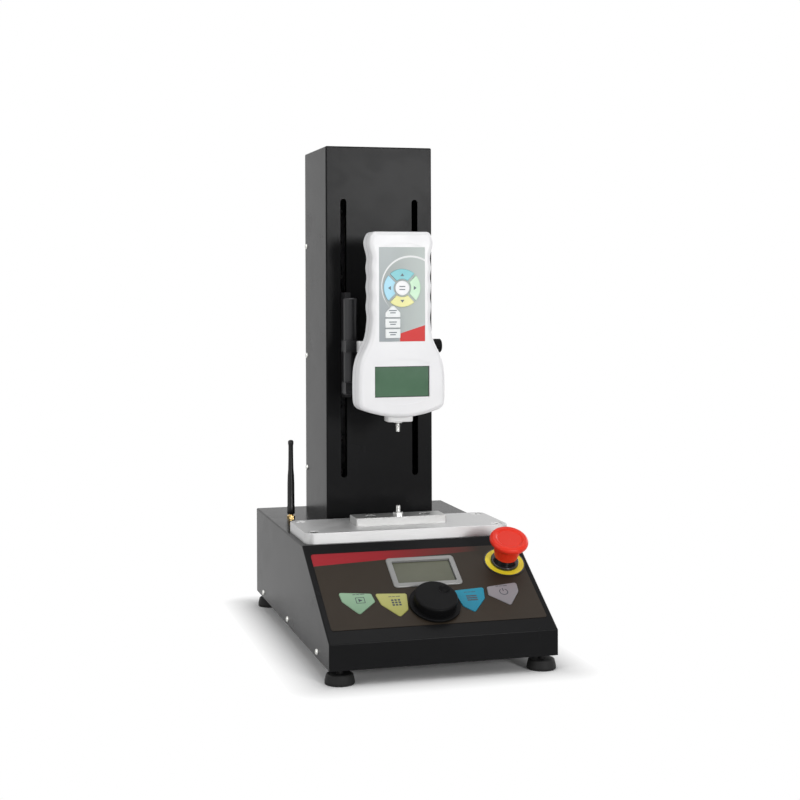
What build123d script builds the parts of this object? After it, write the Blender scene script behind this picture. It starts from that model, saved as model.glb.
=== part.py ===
import os
from math import asin, atan2, cos, degrees, hypot, pi, sin

from build123d import *

os.makedirs("parts", exist_ok=True)

# Bench force testing machine. A sheet-metal base with a sloping control panel carries a
# work plate and a column. A screw inside the column drives a crosshead whose two arms come
# out through slots and hold a hand-held force gauge above the lower stud.
# Millimetres. X right, front is -Y, Z up, origin on the table under the base's centre.

# Base housing
base_width = 230.0
base_depth = 390.0
foot_height = 15.0
housing_height = 98.0
front_wall_height = 25.4
foot_radius = 14.5
foot_taper = 1.5
foot_gap = 5.0
foot_stem_radius = 3.0
foot_stem_reach = 12.0
foot_inset = 13.0
rear_reach = 4.5
panel_run = 123.3
sheet = 1.5
bend_radius = 1.5
tray_lip = 14.0
slip = 0.3
running = 0.1
screw_shank = 1.5
screw_head = 3.2
screw_dome = 2.0
rear_screw_run = 45.0
middle_screw_run = 6.5
front_screw_run = 54.0

# Load frame, work plate and lower fixture
frame_level = 65.0
frame_thick = 8.0
leg_size = 14.0
pad_radius = 6.0
frame_rear_reach = 5.0
plate_side_inset = 5.0
frame_inset = 3.5
plate_depth = 90.0
plate_thick = 10.8
plate_corner = 9.0
plate_front_inset = 5.3
screw_inset = 10.5
bar_width = 99.0
bar_depth = 30.0
bar_thick = 8.5
stud_radius = 2.5
stud_length = 10.3
hex_across = 9.5
hex_height = 3.2

# Column
column_width = 122.0
column_front = 52.5
column_depth = 111.0
column_height = 419.5
slot_width = 7.0
slot_spread = 82.2
slot_bottom = 51.0
slot_length = 310.0
spine_thick = 10.5
antenna_inset = 25.6
antenna_run = 61.0
antenna_thread = 2.9

# Drive
rail_spread = 48.0
rail_width = 12.0
rail_height = 8.0
block_width = 27.0
block_height = 10.0
block_length = 40.0
screw_radius = 6.0
journal_radius = 5.0
screw_offset = 57.0
belt_width = 8.8
belt_thick = 1.4
motor_size = 57.0
motor_shaft_radius = 4.0
motor_pulley_radius = 10.0
screw_pulley_radius = 21.0
pulley_flange = 1.2
pulley_centres = 76.0

# Crosshead arms, posts and gauge bracket
arm_thick = 6.0
arm_bottom = 255.0
arm_height = 115.0
post_radius = 7.5
post_spread = 80.2
post_y = 25.5
post_bottom = 258.0
post_length = 106.0
clamp_width = 17.5
clamp_height = 12.4
clamp_depth = 19.7
clamp_levels = (260.0, 305.2)
bracket_plate_height = 64.0
bracket_plate_radius = 4.0
bracket_thick = 12.5
clamp_bar_width = 79.0
clamp_bar_height = 12.0
clamp_bar_depth = 10.0
knob_radius = 7.5
knob_length = 10.0
knob_gap = 4.0
spindle_radius = 2.5

# Force gauge
gauge_axis_y = -23.0
gauge_front_reach = 19.5
gauge_bottom = 237.5
gauge_height = 197.5
gauge_depth = 32.0
gauge_wall = 2.6
gauge_edge = 4.5
gauge_corner = 5.0
gauge_half_width = 47.7
nose_width = 28.0
nose_depth = 19.0
nose_corner = 4.0
nose_drop = 4.9
shaft_radius = 2.5
shaft_length = 8.1
collar_radius = 4.9
collar_height = 3.1

# Control panel
overlay_margin = 5.8
overlay_thick = 0.5
overlay_start = 15.0
overlay_end = 125.5
display_width = 61.0
display_height = 32.9
display_offset = 1.4
display_run = 49.5
bezel_border = 5.3
bezel_rise = 1.8
key_rise = 1.1
key_gap = 0.3
key_lip = 1.3
key_travel = 0.4
key_corner = 2.2
jog_radius = 21.5
jog_skirt_radius = 26.0
jog_height = 13.0
jog_shaft_radius = 3.0
estop_radius = 20.0
estop_legend_border = 1.4
estop_collar_height = 3.2
estop_neck_radius = 9.5
estop_neck_depth = 5.3
estop_stem_radius = 5.0
estop_head_height = 33.3
estop_crown = 5.6
estop_inset = 19.7
estop_run = 42.5
estop_travel = 5.0

# Levels and planes that the sizes above lead to
half_width = base_width / 2
plate_width = base_width - 2 * plate_side_inset
front_y = -(base_depth + rear_reach - (foot_radius - foot_inset)) / 2
rear_y = front_y + base_depth
tray_floor = foot_height + sheet
deck_z = foot_height + housing_height
knee_z = foot_height + front_wall_height
bend_y = front_y + panel_run
tilt = atan2(deck_z - knee_z, panel_run)
panel_length = hypot(deck_z - knee_z, panel_run)
panel = Plane(origin=(0, bend_y, deck_z), x_dir=(1, 0, 0), z_dir=(0, -sin(tilt), cos(tilt)))
panel_up = Axis((0, 0, 0), panel.z_dir)
plate_front = bend_y + plate_front_inset
plate_top = deck_z + plate_thick
plate_centre_y = plate_front + plate_depth / 2
bar_top = plate_top + bar_thick
frame_bottom = foot_height + frame_level
frame_top = frame_bottom + frame_thick
deck_under = deck_z - sheet
column_rear = column_front + column_depth
column_top = deck_z + column_height
column_side = column_width / 2
spine_front = column_rear - sheet - spine_thick
slot_x = slot_spread / 2
screw_y = spine_front - screw_offset
motor_y = screw_y - pulley_centres
gauge_front = gauge_axis_y - gauge_front_reach
gauge_back = gauge_front + gauge_depth
gauge_split = (gauge_front + gauge_back) / 2
gauge_top = gauge_bottom + gauge_height
post_x = post_spread / 2
screw_spots = [
    (side * (plate_width / 2 - screw_inset), plate_centre_y + end * (plate_depth / 2 - screw_inset))
    for side in (-1, 1)
    for end in (-1, 1)
]
foot_spots = [
    (side * (half_width - foot_inset), y)
    for side in (-1, 1)
    for y in (front_y + foot_inset, rear_y - foot_inset - 5.0)
]
side_screw_runs = (
    rear_y - rear_screw_run,
    (front_y + rear_y) / 2 + middle_screw_run,
    front_y + front_screw_run,
)
column_screw_levels = [deck_z + column_height * share for share in (0.122, 0.436, 0.741)]
overlay_half = half_width - overlay_margin
antenna_x = -half_width + antenna_inset
antenna_y = column_front + antenna_run


# The four membrane keys fan out around the jog knob. Corners are shares of the overlay's
# half width and of the panel's length down the slope.
outer_key = [(0.550, 0.543), (0.846, 0.516), (0.834, 0.606), (0.708, 0.740), (0.535, 0.624)]
inner_key = [(0.222, 0.562), (0.516, 0.546), (0.488, 0.656), (0.349, 0.785), (0.256, 0.720)]


def key_outline(corners, side, height, grow):
    """Outline of one panel key on the panel, lifted by height and grown by grow."""
    points = [(side * u * overlay_half, -v * panel_length) for u, v in corners]
    with BuildSketch(panel.offset(height)) as outline:
        with BuildLine():
            Polyline(*points, close=True)
        make_face()
        fillet(outline.vertices(), key_corner)
        if grow:
            offset(amount=grow)
    return outline.sketch


def key_centre(corners, side):
    """Middle of one panel key in the panel's own coordinates."""
    across = sum(u for u, v in corners) / len(corners)
    along = sum(v for u, v in corners) / len(corners)
    return (side * across * overlay_half, -along * panel_length)


panel_keys = {
    "start_key": (outer_key, -1),
    "menu_key": (inner_key, -1),
    "list_key": (inner_key, 1),
    "standby_key": (outer_key, 1),
}
jog_spot = (0.0, -0.689 * panel_length)
estop_spot = (overlay_half - estop_inset, -estop_run)
display_spot = (display_offset, -display_run)
display_lip = 2.0
encoder_bush_radius = 4.5
estop_barrel_radius = 11.0
estop_barrel_length = 22.0

# Cover of the base: one folded sheet with the front wall, the sloping panel, the deck and
# both sides. The bottom and the rear are open and the tray closes them.
with BuildPart() as base_cover:
    with BuildSketch(Plane.YZ):
        with BuildLine():
            Polyline(
                (front_y, foot_height),
                (front_y, knee_z),
                (bend_y, deck_z),
                (rear_y, deck_z),
                (rear_y, foot_height),
                close=True,
            )
        make_face()
    extrude(amount=half_width, both=True)
    folds = base_cover.edges().filter_by(
        lambda e: e.center().Z > foot_height + sheet and e.center().Y < rear_y - sheet
    )
    fillet(folds, bend_radius)
    with BuildSketch(Plane.YZ):
        with BuildLine():
            Polyline(
                (front_y, foot_height - 2 * sheet),
                (front_y, knee_z),
                (bend_y, deck_z),
                (rear_y + 2 * sheet, deck_z),
                (rear_y + 2 * sheet, foot_height - 2 * sheet),
                close=True,
            )
        make_face()
        offset(amount=-sheet, kind=Kind.INTERSECTION)
    extrude(amount=half_width - sheet, both=True, mode=Mode.SUBTRACT)
    # Opening in the deck under the column, antenna hole and the work plate's screw holes
    with BuildSketch(Plane.XY.offset(deck_z)):
        with Locations((0, column_front + column_depth / 2)):
            Rectangle(column_width - 12 * sheet, column_depth - 6 * sheet)
        with Locations((antenna_x, antenna_y)):
            Circle(antenna_thread + slip)
        with Locations(*screw_spots):
            Circle(stud_radius + slip)
    extrude(amount=-2 * sheet, mode=Mode.SUBTRACT)
    # Panel cut-outs for the display, the jog knob's bush and the stop button
    with BuildSketch(panel.offset(sheet)):
        with Locations(display_spot):
            Rectangle(display_width + 2 * display_lip, display_height + 2 * display_lip)
        with Locations(jog_spot):
            Circle(encoder_bush_radius + slip)
        with Locations(estop_spot):
            Circle(estop_barrel_radius + slip)
    extrude(amount=-3 * sheet, mode=Mode.SUBTRACT)
    for corners, side in panel_keys.values():
        extrude(key_outline(corners, side, sheet, key_gap), amount=-3 * sheet, mode=Mode.SUBTRACT)
    # Side screw holes
    with BuildSketch(Plane.YZ.offset(-half_width)):
        with Locations(*[(y, tray_floor + tray_lip / 3) for y in side_screw_runs]):
            Circle(screw_shank + slip)
    extrude(amount=base_width, mode=Mode.SUBTRACT)
base_cover.part.label = "base_cover"
export_step(base_cover.part, "parts/base_cover.step")

# Tray under the cover: floor, three short upturned lips and the full-height rear wall with
# the cut-outs for the mains inlet, the data sockets and the air slots.
inlet_spot = (0.56 * half_width, foot_height + 0.50 * housing_height)
serial_spot = (-0.30 * half_width, foot_height + 0.36 * housing_height)
usb_spot = (-0.62 * half_width, foot_height + 0.36 * housing_height)
inlet_width = 28.0
inlet_depth = 24.0
inlet_height = 48.0
serial_width = 25.0
serial_height = 10.0
usb_width = 12.0
usb_height = 11.0
vent_length = 40.0
vent_width = 3.0
rear_plane = Plane(origin=(0, rear_y, 0), x_dir=(-1, 0, 0), z_dir=(0, 1, 0))


def rear_spot(spot):
    """A place on the rear wall in the rear plane's own coordinates."""
    return (-spot[0], spot[1])


with BuildPart() as base_tray:
    with BuildSketch(Plane.XY.offset(foot_height)):
        with Locations((0, sheet / 2)):
            Rectangle(base_width - 2 * sheet, base_depth - sheet)
    extrude(amount=tray_lip)
    with BuildSketch(Plane.XY.offset(tray_floor)):
        with Locations((0, sheet / 2)):
            Rectangle(base_width - 4 * sheet, base_depth - 3 * sheet)
    extrude(amount=tray_lip, mode=Mode.SUBTRACT)
    with BuildSketch(rear_plane):
        with Locations((0, foot_height + (housing_height - sheet) / 2)):
            Rectangle(base_width - 2 * sheet, housing_height - sheet)
    extrude(amount=-sheet)
    with BuildSketch(rear_plane):
        with Locations(rear_spot(inlet_spot)):
            Rectangle(inlet_width, inlet_height)
        with Locations(rear_spot(serial_spot)):
            Rectangle(serial_width, serial_height)
        with Locations(rear_spot(usb_spot)):
            Rectangle(usb_width, usb_height)
        with Locations((0.42 * half_width, foot_height + 0.76 * housing_height)):
            with GridLocations(0, 2.4 * vent_width, 1, 4):
                SlotOverall(vent_length, vent_width)
    extrude(amount=-2 * sheet, mode=Mode.SUBTRACT)
    with BuildSketch(Plane.XY.offset(foot_height)):
        with Locations(*foot_spots):
            Circle(foot_stem_radius + running)
        with Locations((0, motor_y + motor_size)):
            with GridLocations(0, 3 * vent_width, 1, 5):
                SlotOverall(2 * vent_length, vent_width)
    extrude(amount=2 * sheet, mode=Mode.SUBTRACT)
    with BuildSketch(Plane.YZ.offset(-half_width)):
        with Locations(*[(y, tray_floor + tray_lip / 3) for y in side_screw_runs]):
            Circle(screw_shank + slip)
    extrude(amount=base_width, mode=Mode.SUBTRACT)
base_tray.part.label = "base_tray"
export_step(base_tray.part, "parts/base_tray.step")

# Domed screws with a cross slot: three on each side of the base, three on each side of the
# column. All are the same screw.
with BuildPart() as housing_screws:
    for side in (-1, 1):
        spots = [(half_width, y, tray_floor + tray_lip / 3) for y in side_screw_runs]
        spots += [(column_side, spine_front + spine_thick / 2, z) for z in column_screw_levels]
        for x, y, z in spots:
            with BuildSketch(Plane(origin=(side * x, y, z), z_dir=(side, 0, 0))):
                Circle(screw_shank)
            extrude(amount=-3.4)
            with BuildSketch(Plane(origin=(side * x, y, z), z_dir=(side, 0, 0))):
                Circle(screw_head)
            extrude(amount=screw_dome)
    rims = housing_screws.edges().filter_by(GeomType.CIRCLE)
    rims = rims.filter_by(lambda e: abs(e.radius - screw_head) < 0.01)
    rims = rims.filter_by(lambda e: min(abs(abs(e.center().X) - half_width - screw_dome),
                                        abs(abs(e.center().X) - column_side - screw_dome)) < 0.01)
    fillet(rims, 0.75 * screw_dome)
housing_screws.part.label = "housing_screws"
export_step(housing_screws.part, "parts/housing_screws.step")

# Load frame inside the base: a thick plate on four legs with four pads that reach up to
# the deck, so that the force at the work plate goes to the column and not to the sheet.
with BuildPart() as load_frame:
    frame_front = plate_front + frame_inset
    frame_rear = column_rear + frame_rear_reach
    frame_side = plate_width / 2 - frame_inset
    with BuildSketch(Plane.XY.offset(frame_bottom)):
        with Locations((0, (frame_front + frame_rear) / 2)):
            RectangleRounded(2 * frame_side, frame_rear - frame_front, 6.0)
    extrude(amount=frame_thick)
    leg_spots = [
        (side * (frame_side - leg_size), y)
        for side in (-1, 1)
        for y in (frame_front + leg_size, frame_rear - leg_size)
    ]
    with BuildSketch(Plane.XY.offset(tray_floor)):
        with Locations(*leg_spots):
            Rectangle(leg_size, leg_size)
    extrude(amount=frame_bottom - tray_floor)
    with BuildSketch(Plane.XY.offset(frame_top)):
        with Locations(*screw_spots):
            Circle(pad_radius)
    extrude(amount=deck_under - frame_top)
    with BuildSketch(Plane.XY.offset(frame_bottom)):
        with Locations(*screw_spots):
            Circle(stud_radius + slip)
        with Locations((0, motor_y)):
            Circle(motor_size / 3 + slip)
            with GridLocations(0.827 * motor_size, 0.827 * motor_size, 2, 2):
                Circle(2.2)
    extrude(amount=deck_under - frame_bottom, mode=Mode.SUBTRACT)
load_frame.part.label = "load_frame"
export_step(load_frame.part, "parts/load_frame.step")

# Work plate: thick aluminium with rounded corners and four countersunk holes
with BuildPart() as work_plate:
    with BuildSketch(Plane.XY.offset(deck_z)):
        with Locations((0, plate_centre_y)):
            RectangleRounded(plate_width, plate_depth, plate_corner)
    extrude(amount=plate_thick)
    chamfer(work_plate.faces().sort_by(Axis.Z)[-1].edges(), 0.5)
    with Locations(*[(x, y, plate_top) for x, y in screw_spots]):
        CounterSinkHole(stud_radius + slip, 2 * stud_radius + 3 * slip, plate_thick, 90)
    with Locations((0, gauge_axis_y, plate_top)):
        Hole(stud_radius + slip, depth=plate_thick)
    with Locations(*[(side * 0.3 * bar_width, gauge_axis_y, plate_top) for side in (-1, 1)]):
        Hole(stud_radius + slip, depth=plate_thick)
work_plate.part.label = "work_plate"
export_step(work_plate.part, "parts/work_plate.step")


def countersunk_screw(x, y, top, length):
    """Solid of revolution of one countersunk screw whose flat head is at the level top."""
    head = 2 * stud_radius
    with BuildPart() as screw:
        with BuildSketch(Plane.XZ.offset(-y)):
            with BuildLine():
                Polyline(
                    (x, top),
                    (x + head, top),
                    (x + head, top - slip),
                    (x + stud_radius, top - slip - head + stud_radius),
                    (x + stud_radius, top - length),
                    (x, top - length),
                    close=True,
                )
            make_face()
        revolve(axis=Axis((x, y, 0), (0, 0, 1)))
        with BuildSketch(Plane.XY.offset(top)):
            with Locations((x, y)):
                RegularPolygon(radius=0.75 * stud_radius, side_count=6)
        extrude(amount=-1.1 * stud_radius, mode=Mode.SUBTRACT)
    return screw.part


# Six countersunk screws: four hold the work plate to the load frame, two hold the fixture
# bar to the work plate
plate_screw_list = [
    countersunk_screw(x, y, plate_top - slip, plate_top - frame_top - 3.0) for x, y in screw_spots
]
plate_screw_list += [
    countersunk_screw(side * 0.3 * bar_width, gauge_axis_y, bar_top - slip, bar_thick + 0.8 * plate_thick)
    for side in (-1, 1)
]
with BuildPart() as plate_screws:
    for screw in plate_screw_list:
        add(screw)
plate_screws.part.label = "plate_screws"
export_step(plate_screws.part, "parts/plate_screws.step")

# Fixture bar on the work plate with the lower stud in its middle
with BuildPart() as fixture_bar:
    with BuildSketch(Plane.XY.offset(plate_top)):
        with Locations((0, gauge_axis_y)):
            Rectangle(bar_width, bar_depth)
    extrude(amount=bar_thick)
    chamfer(fixture_bar.edges().filter_by(Axis.Z), 1.0)
    chamfer(fixture_bar.faces().sort_by(Axis.Z)[-1].edges(), 0.4)
    with Locations(*[(side * 0.3 * bar_width, gauge_axis_y, bar_top) for side in (-1, 1)]):
        CounterSinkHole(stud_radius + slip, 2 * stud_radius + 3 * slip, bar_thick, 90)
    with Locations((0, gauge_axis_y, bar_top)):
        Hole(stud_radius + slip, depth=bar_thick)
fixture_bar.part.label = "fixture_bar"
export_step(fixture_bar.part, "parts/fixture_bar.step")

# Lower stud: a threaded rod end with a hex collar seated on the bar
with BuildPart() as lower_stud:
    with BuildSketch(Plane.XY.offset(deck_z + 1.0)):
        with Locations((0, gauge_axis_y)):
            Circle(stud_radius)
    extrude(amount=bar_top + stud_length - deck_z - 1.0)
    chamfer(lower_stud.faces().sort_by(Axis.Z)[-1].edges(), 0.5)
    with BuildSketch(Plane.XY.offset(bar_top)):
        with Locations((0, gauge_axis_y)):
            RegularPolygon(radius=hex_across / 2, side_count=6, major_radius=False)
    extrude(amount=hex_height)
lower_stud.part.label = "lower_stud"
export_step(lower_stud.part, "parts/lower_stud.step")

# Printed overlay on the panel, with openings for the display, the keys, the jog knob and
# the stop button
with BuildPart() as control_overlay:
    with BuildSketch(panel):
        with Locations((0, -(overlay_start + overlay_end) / 2)):
            RectangleRounded(2 * overlay_half, overlay_end - overlay_start, 3.0)
        with Locations(display_spot):
            Rectangle(
                display_width + 2 * display_lip, display_height + 2 * display_lip, mode=Mode.SUBTRACT
            )
        with Locations(jog_spot):
            Circle(encoder_bush_radius + 2 * slip, mode=Mode.SUBTRACT)
        with Locations(estop_spot):
            Circle(estop_barrel_radius + 2 * slip, mode=Mode.SUBTRACT)
    extrude(amount=overlay_thick)
    for corners, side in panel_keys.values():
        extrude(key_outline(corners, side, -sheet, key_gap), amount=3 * sheet, mode=Mode.SUBTRACT)
control_overlay.part.label = "control_overlay"
export_step(control_overlay.part, "parts/control_overlay.step")

# The four panel keys: a printed cap with a lip under the sheet that holds it in, and a
# stem that presses the switch on the board
switch_level = -(sheet + 5.1)
for name, (corners, side) in panel_keys.items():
    with BuildPart() as panel_key:
        extrude(key_outline(corners, side, -sheet - 1.2, 0), amount=sheet + 1.2 + key_rise)
        rim = panel_key.faces().sort_by(panel_up)[-1]
        chamfer(rim.edges(), 0.3)
        extrude(key_outline(corners, side, -sheet - 1.2, key_lip), amount=1.15)
        with BuildSketch(panel.offset(switch_level + key_travel)):
            with Locations(key_centre(corners, side)):
                Circle(2.5)
        extrude(amount=-switch_level - key_travel - sheet - 0.5)
    panel_key.part.label = name
    export_step(panel_key.part, "parts/" + name + ".step")

# Display bezel: a raised frame with a skirt that drops into the panel's cut-out
with BuildPart() as display_bezel:
    with BuildSketch(panel.offset(overlay_thick)):
        with Locations(display_spot):
            RectangleRounded(
                display_width + 2 * bezel_border, display_height + 2 * bezel_border, 4.0
            )
    extrude(amount=bezel_rise - overlay_thick)
    outer_rim = display_bezel.faces().sort_by(panel_up)[-1]
    chamfer(outer_rim.edges(), 0.6)
    with BuildSketch(panel.offset(-sheet)):
        with Locations(display_spot):
            Rectangle(
                display_width + 2 * display_lip - slip, display_height + 2 * display_lip - slip
            )
    extrude(amount=sheet + overlay_thick + slip)
    with BuildSketch(panel.offset(-2 * sheet)):
        with Locations(display_spot):
            RectangleRounded(display_width, display_height, 1.0)
    extrude(amount=4 * sheet, mode=Mode.SUBTRACT)
display_bezel.part.label = "display_bezel"
export_step(display_bezel.part, "parts/display_bezel.step")

# Display module behind the bezel: glass front and the board that carries it
with BuildPart() as display_module:
    with BuildSketch(panel.offset(-0.3)):
        with Locations(display_spot):
            RectangleRounded(display_width - 2 * slip, display_height - 2 * slip, 0.7)
    extrude(amount=-sheet - 3.0)
    with BuildSketch(panel.offset(-0.3 - sheet - 3.0)):
        with Locations(display_spot):
            Rectangle(display_width + 4 * display_lip, display_height + 4 * display_lip)
    extrude(amount=-2.0)
display_module.part.label = "display_module"
export_step(display_module.part, "parts/display_module.step")

# Legend ring under the stop button
with BuildPart() as estop_legend:
    with BuildSketch(panel.offset(overlay_thick)):
        with Locations(estop_spot):
            Circle(estop_radius + estop_legend_border)
            Circle(estop_barrel_radius + 2 * slip, mode=Mode.SUBTRACT)
    extrude(amount=0.9)
estop_legend.part.label = "estop_legend"
export_step(estop_legend.part, "parts/estop_legend.step")

# Stop button, fixed part: collar on the panel, threaded barrel, nut under the sheet and
# the contact block
legend_top = overlay_thick + 0.9
collar_top = legend_top + estop_collar_height
cap_bottom = collar_top + estop_travel + slip
neck_bottom = collar_top - estop_neck_depth
well_bottom = neck_bottom - estop_travel - slip
with BuildPart() as estop_collar:
    with BuildSketch(panel.offset(-estop_barrel_length)):
        with Locations(estop_spot):
            Circle(estop_barrel_radius)
    extrude(amount=estop_barrel_length + collar_top)
    with BuildSketch(panel.offset(legend_top)):
        with Locations(estop_spot):
            Circle(estop_barrel_radius + 3.5)
    extrude(amount=collar_top - legend_top)
    collar_rim = estop_collar.edges().filter_by(GeomType.CIRCLE).filter_by(
        lambda e: abs(e.radius - estop_barrel_radius - 3.5) < 0.01
    )
    fillet(collar_rim.sort_by(panel_up)[-1], 1.2)
    with BuildSketch(panel.offset(-sheet)):
        with Locations(estop_spot):
            RegularPolygon(radius=estop_barrel_radius + 3.5, side_count=6)
    extrude(amount=-4.0)
    with BuildSketch(panel.offset(-estop_barrel_length)):
        with Locations(estop_spot):
            RectangleRounded(30.0, 30.0, 2.0)
    extrude(amount=-20.0)
    # The neck's well and, below it, the stem's bore
    with BuildSketch(panel.offset(collar_top)):
        with Locations(estop_spot):
            Circle(estop_neck_radius + running)
    extrude(amount=well_bottom - collar_top, mode=Mode.SUBTRACT)
    with BuildSketch(panel.offset(collar_top)):
        with Locations(estop_spot):
            Circle(estop_stem_radius + running)
    extrude(amount=-collar_top - estop_barrel_length - estop_travel, mode=Mode.SUBTRACT)
estop_collar.part.label = "estop_collar"
export_step(estop_collar.part, "parts/estop_collar.step")

# Stop button, plunger: stem in the barrel, neck in the collar's well, the head on top
with BuildPart() as estop_plunger:
    with BuildSketch(panel.offset(-estop_barrel_length + 1.0)):
        with Locations(estop_spot):
            Circle(estop_stem_radius)
    extrude(amount=estop_barrel_length - 1.0 + estop_head_height - estop_crown - slip)
    with BuildSketch(panel.offset(neck_bottom)):
        with Locations(estop_spot):
            Circle(estop_neck_radius)
    extrude(amount=cap_bottom - slip - neck_bottom)
estop_plunger.part.label = "estop_plunger"
export_step(estop_plunger.part, "parts/estop_plunger.step")

# Stop button, mushroom head: a wide dished disc on a conical skirt, bored for the stem
with BuildPart() as estop_head:
    head_origin = panel.from_local_coords((estop_spot[0], estop_spot[1], 0))
    skirt_foot = estop_neck_radius + 2.5
    skirt_top = skirt_foot + 2.7
    disc_bottom = estop_head_height - 9.3
    disc_rim = estop_head_height - 4.0
    dish_radius = estop_radius - 5.5
    with BuildSketch(Plane(origin=head_origin, x_dir=(1, 0, 0), z_dir=panel.y_dir * -1)):
        with BuildLine():
            Polyline(
                (estop_stem_radius + running, cap_bottom),
                (skirt_foot, cap_bottom),
                (skirt_top, disc_bottom),
                (estop_radius - 2.2, disc_bottom + 2.0),
            )
            ThreePointArc(
                (estop_radius - 2.2, disc_bottom + 2.0),
                (estop_radius, disc_rim),
                (estop_radius - 3.0, estop_head_height),
            )
            Polyline(
                (estop_radius - 3.0, estop_head_height),
                (dish_radius, estop_head_height - 0.1),
                (dish_radius - 2.0, estop_head_height - 1.3),
                (0, estop_head_height - 1.6),
                (0, estop_head_height - estop_crown),
                (estop_stem_radius + running, estop_head_height - estop_crown),
                (estop_stem_radius + running, cap_bottom),
            )
        make_face()
    revolve(axis=Axis(head_origin, panel.z_dir))
estop_head.part.label = "estop_head"
export_step(estop_head.part, "parts/estop_head.step")

# Control board under the panel: four key switches and the jog encoder with its bush
board_level = switch_level - 2.4
with BuildPart() as control_board:
    board_start = 0.50 * panel_length
    board_end = 0.86 * panel_length
    board_half = overlay_half - 7.0
    with BuildSketch(panel.offset(board_level)):
        with Locations((0, -(board_start + board_end) / 2)):
            Rectangle(2 * board_half, board_end - board_start)
    extrude(amount=-1.6)
    with BuildSketch(panel.offset(board_level)):
        with Locations(*[key_centre(corners, side) for corners, side in panel_keys.values()]):
            Rectangle(6.0, 6.0)
    extrude(amount=2.4 - 0.05)
    with BuildSketch(panel.offset(board_level)):
        with Locations((-board_half + 3.0, -board_end + 3.0), (board_half - 3.0, -board_end + 3.0)):
            Circle(2.4)
    extrude(amount=-board_level - sheet)
    with BuildSketch(panel.offset(board_level)):
        with Locations(jog_spot):
            Rectangle(13.0, 13.0)
    extrude(amount=-board_level - sheet)
    with BuildSketch(panel.offset(-sheet)):
        with Locations(jog_spot):
            Circle(encoder_bush_radius)
    extrude(amount=sheet + 3.4)
    with BuildSketch(panel.offset(3.4)):
        with Locations(jog_spot):
            Circle(jog_shaft_radius + running)
    extrude(amount=-9.0, mode=Mode.SUBTRACT)
control_board.part.label = "control_board"
export_step(control_board.part, "parts/control_board.step")

# Jog knob: flat skirt, tall body with a finger dimple, hollow over the bush, own shaft
with BuildPart() as jog_knob:
    with BuildSketch(panel.offset(1.5)):
        with Locations(jog_spot):
            Circle(jog_skirt_radius)
    extrude(amount=2.0)
    fillet(jog_knob.faces().sort_by(panel_up)[-1].edges(), 0.9)
    with BuildSketch(panel.offset(3.4)):
        with Locations(jog_spot):
            Circle(jog_radius)
    extrude(amount=jog_height - 3.4)
    fillet(jog_knob.faces().sort_by(panel_up)[-1].edges(), 2.0)
    with Locations(panel.offset(jog_height + 5.0).location * Location((10.0, jog_spot[1] + 8.0, 0))):
        Sphere(7.6, mode=Mode.SUBTRACT)
    with BuildSketch(panel.offset(1.5)):
        with Locations(jog_spot):
            Circle(encoder_bush_radius + 1.0)
    extrude(amount=3.0, mode=Mode.SUBTRACT)
    with BuildSketch(panel.offset(-4.6)):
        with Locations(jog_spot):
            Circle(jog_shaft_radius)
    extrude(amount=10.0)
jog_knob.part.label = "jog_knob"
export_step(jog_knob.part, "parts/jog_knob.step")

# Antenna: gold bulkhead connector through the deck, whip with a swivelling base
antenna_base = deck_z + 8.5
antenna_top = deck_z + 88.5
with BuildPart() as antenna_connector:
    with BuildSketch(Plane.XY.offset(deck_z - 7.0)):
        with Locations((antenna_x, antenna_y)):
            Circle(antenna_thread)
    extrude(amount=7.0 + 8.0)
    with BuildSketch(Plane.XY.offset(deck_z)):
        with Locations((antenna_x, antenna_y)):
            RegularPolygon(radius=4.6, side_count=6)
    extrude(amount=2.2)
    with BuildSketch(Plane.XY.offset(deck_under)):
        with Locations((antenna_x, antenna_y)):
            RegularPolygon(radius=4.6, side_count=6)
    extrude(amount=-2.2)
antenna_connector.part.label = "antenna_connector"
export_step(antenna_connector.part, "parts/antenna_connector.step")

with BuildPart() as antenna_whip:
    with BuildSketch(Plane.XZ.offset(-antenna_y)):
        with BuildLine():
            Polyline(
                (antenna_x, antenna_base),
                (antenna_x, antenna_top),
                (antenna_x + 2.6, antenna_top),
                (antenna_x + 3.2, antenna_top - 1.0),
                (antenna_x + 4.5, antenna_base + 14.0),
                (antenna_x + 5.2, antenna_base + 12.0),
                (antenna_x + 5.2, antenna_base - 1.0),
                (antenna_x + 4.6, antenna_base - 4.5),
                (antenna_x + 3.0, antenna_base - 4.5),
                (antenna_x + 3.0, antenna_base),
                close=True,
            )
        make_face()
    revolve(axis=Axis((antenna_x, antenna_y, 0), (0, 0, 1)))
antenna_whip.part.label = "antenna_whip"
export_step(antenna_whip.part, "parts/antenna_whip.step")

# Drive motor hung under the load frame
with BuildPart() as drive_motor:
    motor_bottom = tray_floor + 3.0
    with BuildSketch(Plane.XY.offset(motor_bottom)):
        with Locations((0, motor_y)):
            RectangleRounded(motor_size, motor_size, 4.0)
    extrude(amount=frame_bottom - motor_bottom)
    with BuildSketch(Plane.XY.offset(motor_bottom + 10.0)):
        with Locations((0, motor_y)):
            RectangleRounded(motor_size + 2, motor_size + 2, 4.0)
            RectangleRounded(motor_size - 3, motor_size - 3, 6.0, mode=Mode.SUBTRACT)
    extrude(amount=frame_bottom - motor_bottom - 22.0, mode=Mode.SUBTRACT)
    with BuildSketch(Plane.XY.offset(frame_bottom)):
        with Locations((0, motor_y)):
            Circle(motor_size / 3)
    extrude(amount=1.6)
    with BuildSketch(Plane.XY.offset(frame_bottom + 1.6)):
        with Locations((0, motor_y)):
            Circle(motor_shaft_radius + running)
    extrude(amount=-30.0, mode=Mode.SUBTRACT)
drive_motor.part.label = "drive_motor"
export_step(drive_motor.part, "parts/drive_motor.step")

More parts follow.
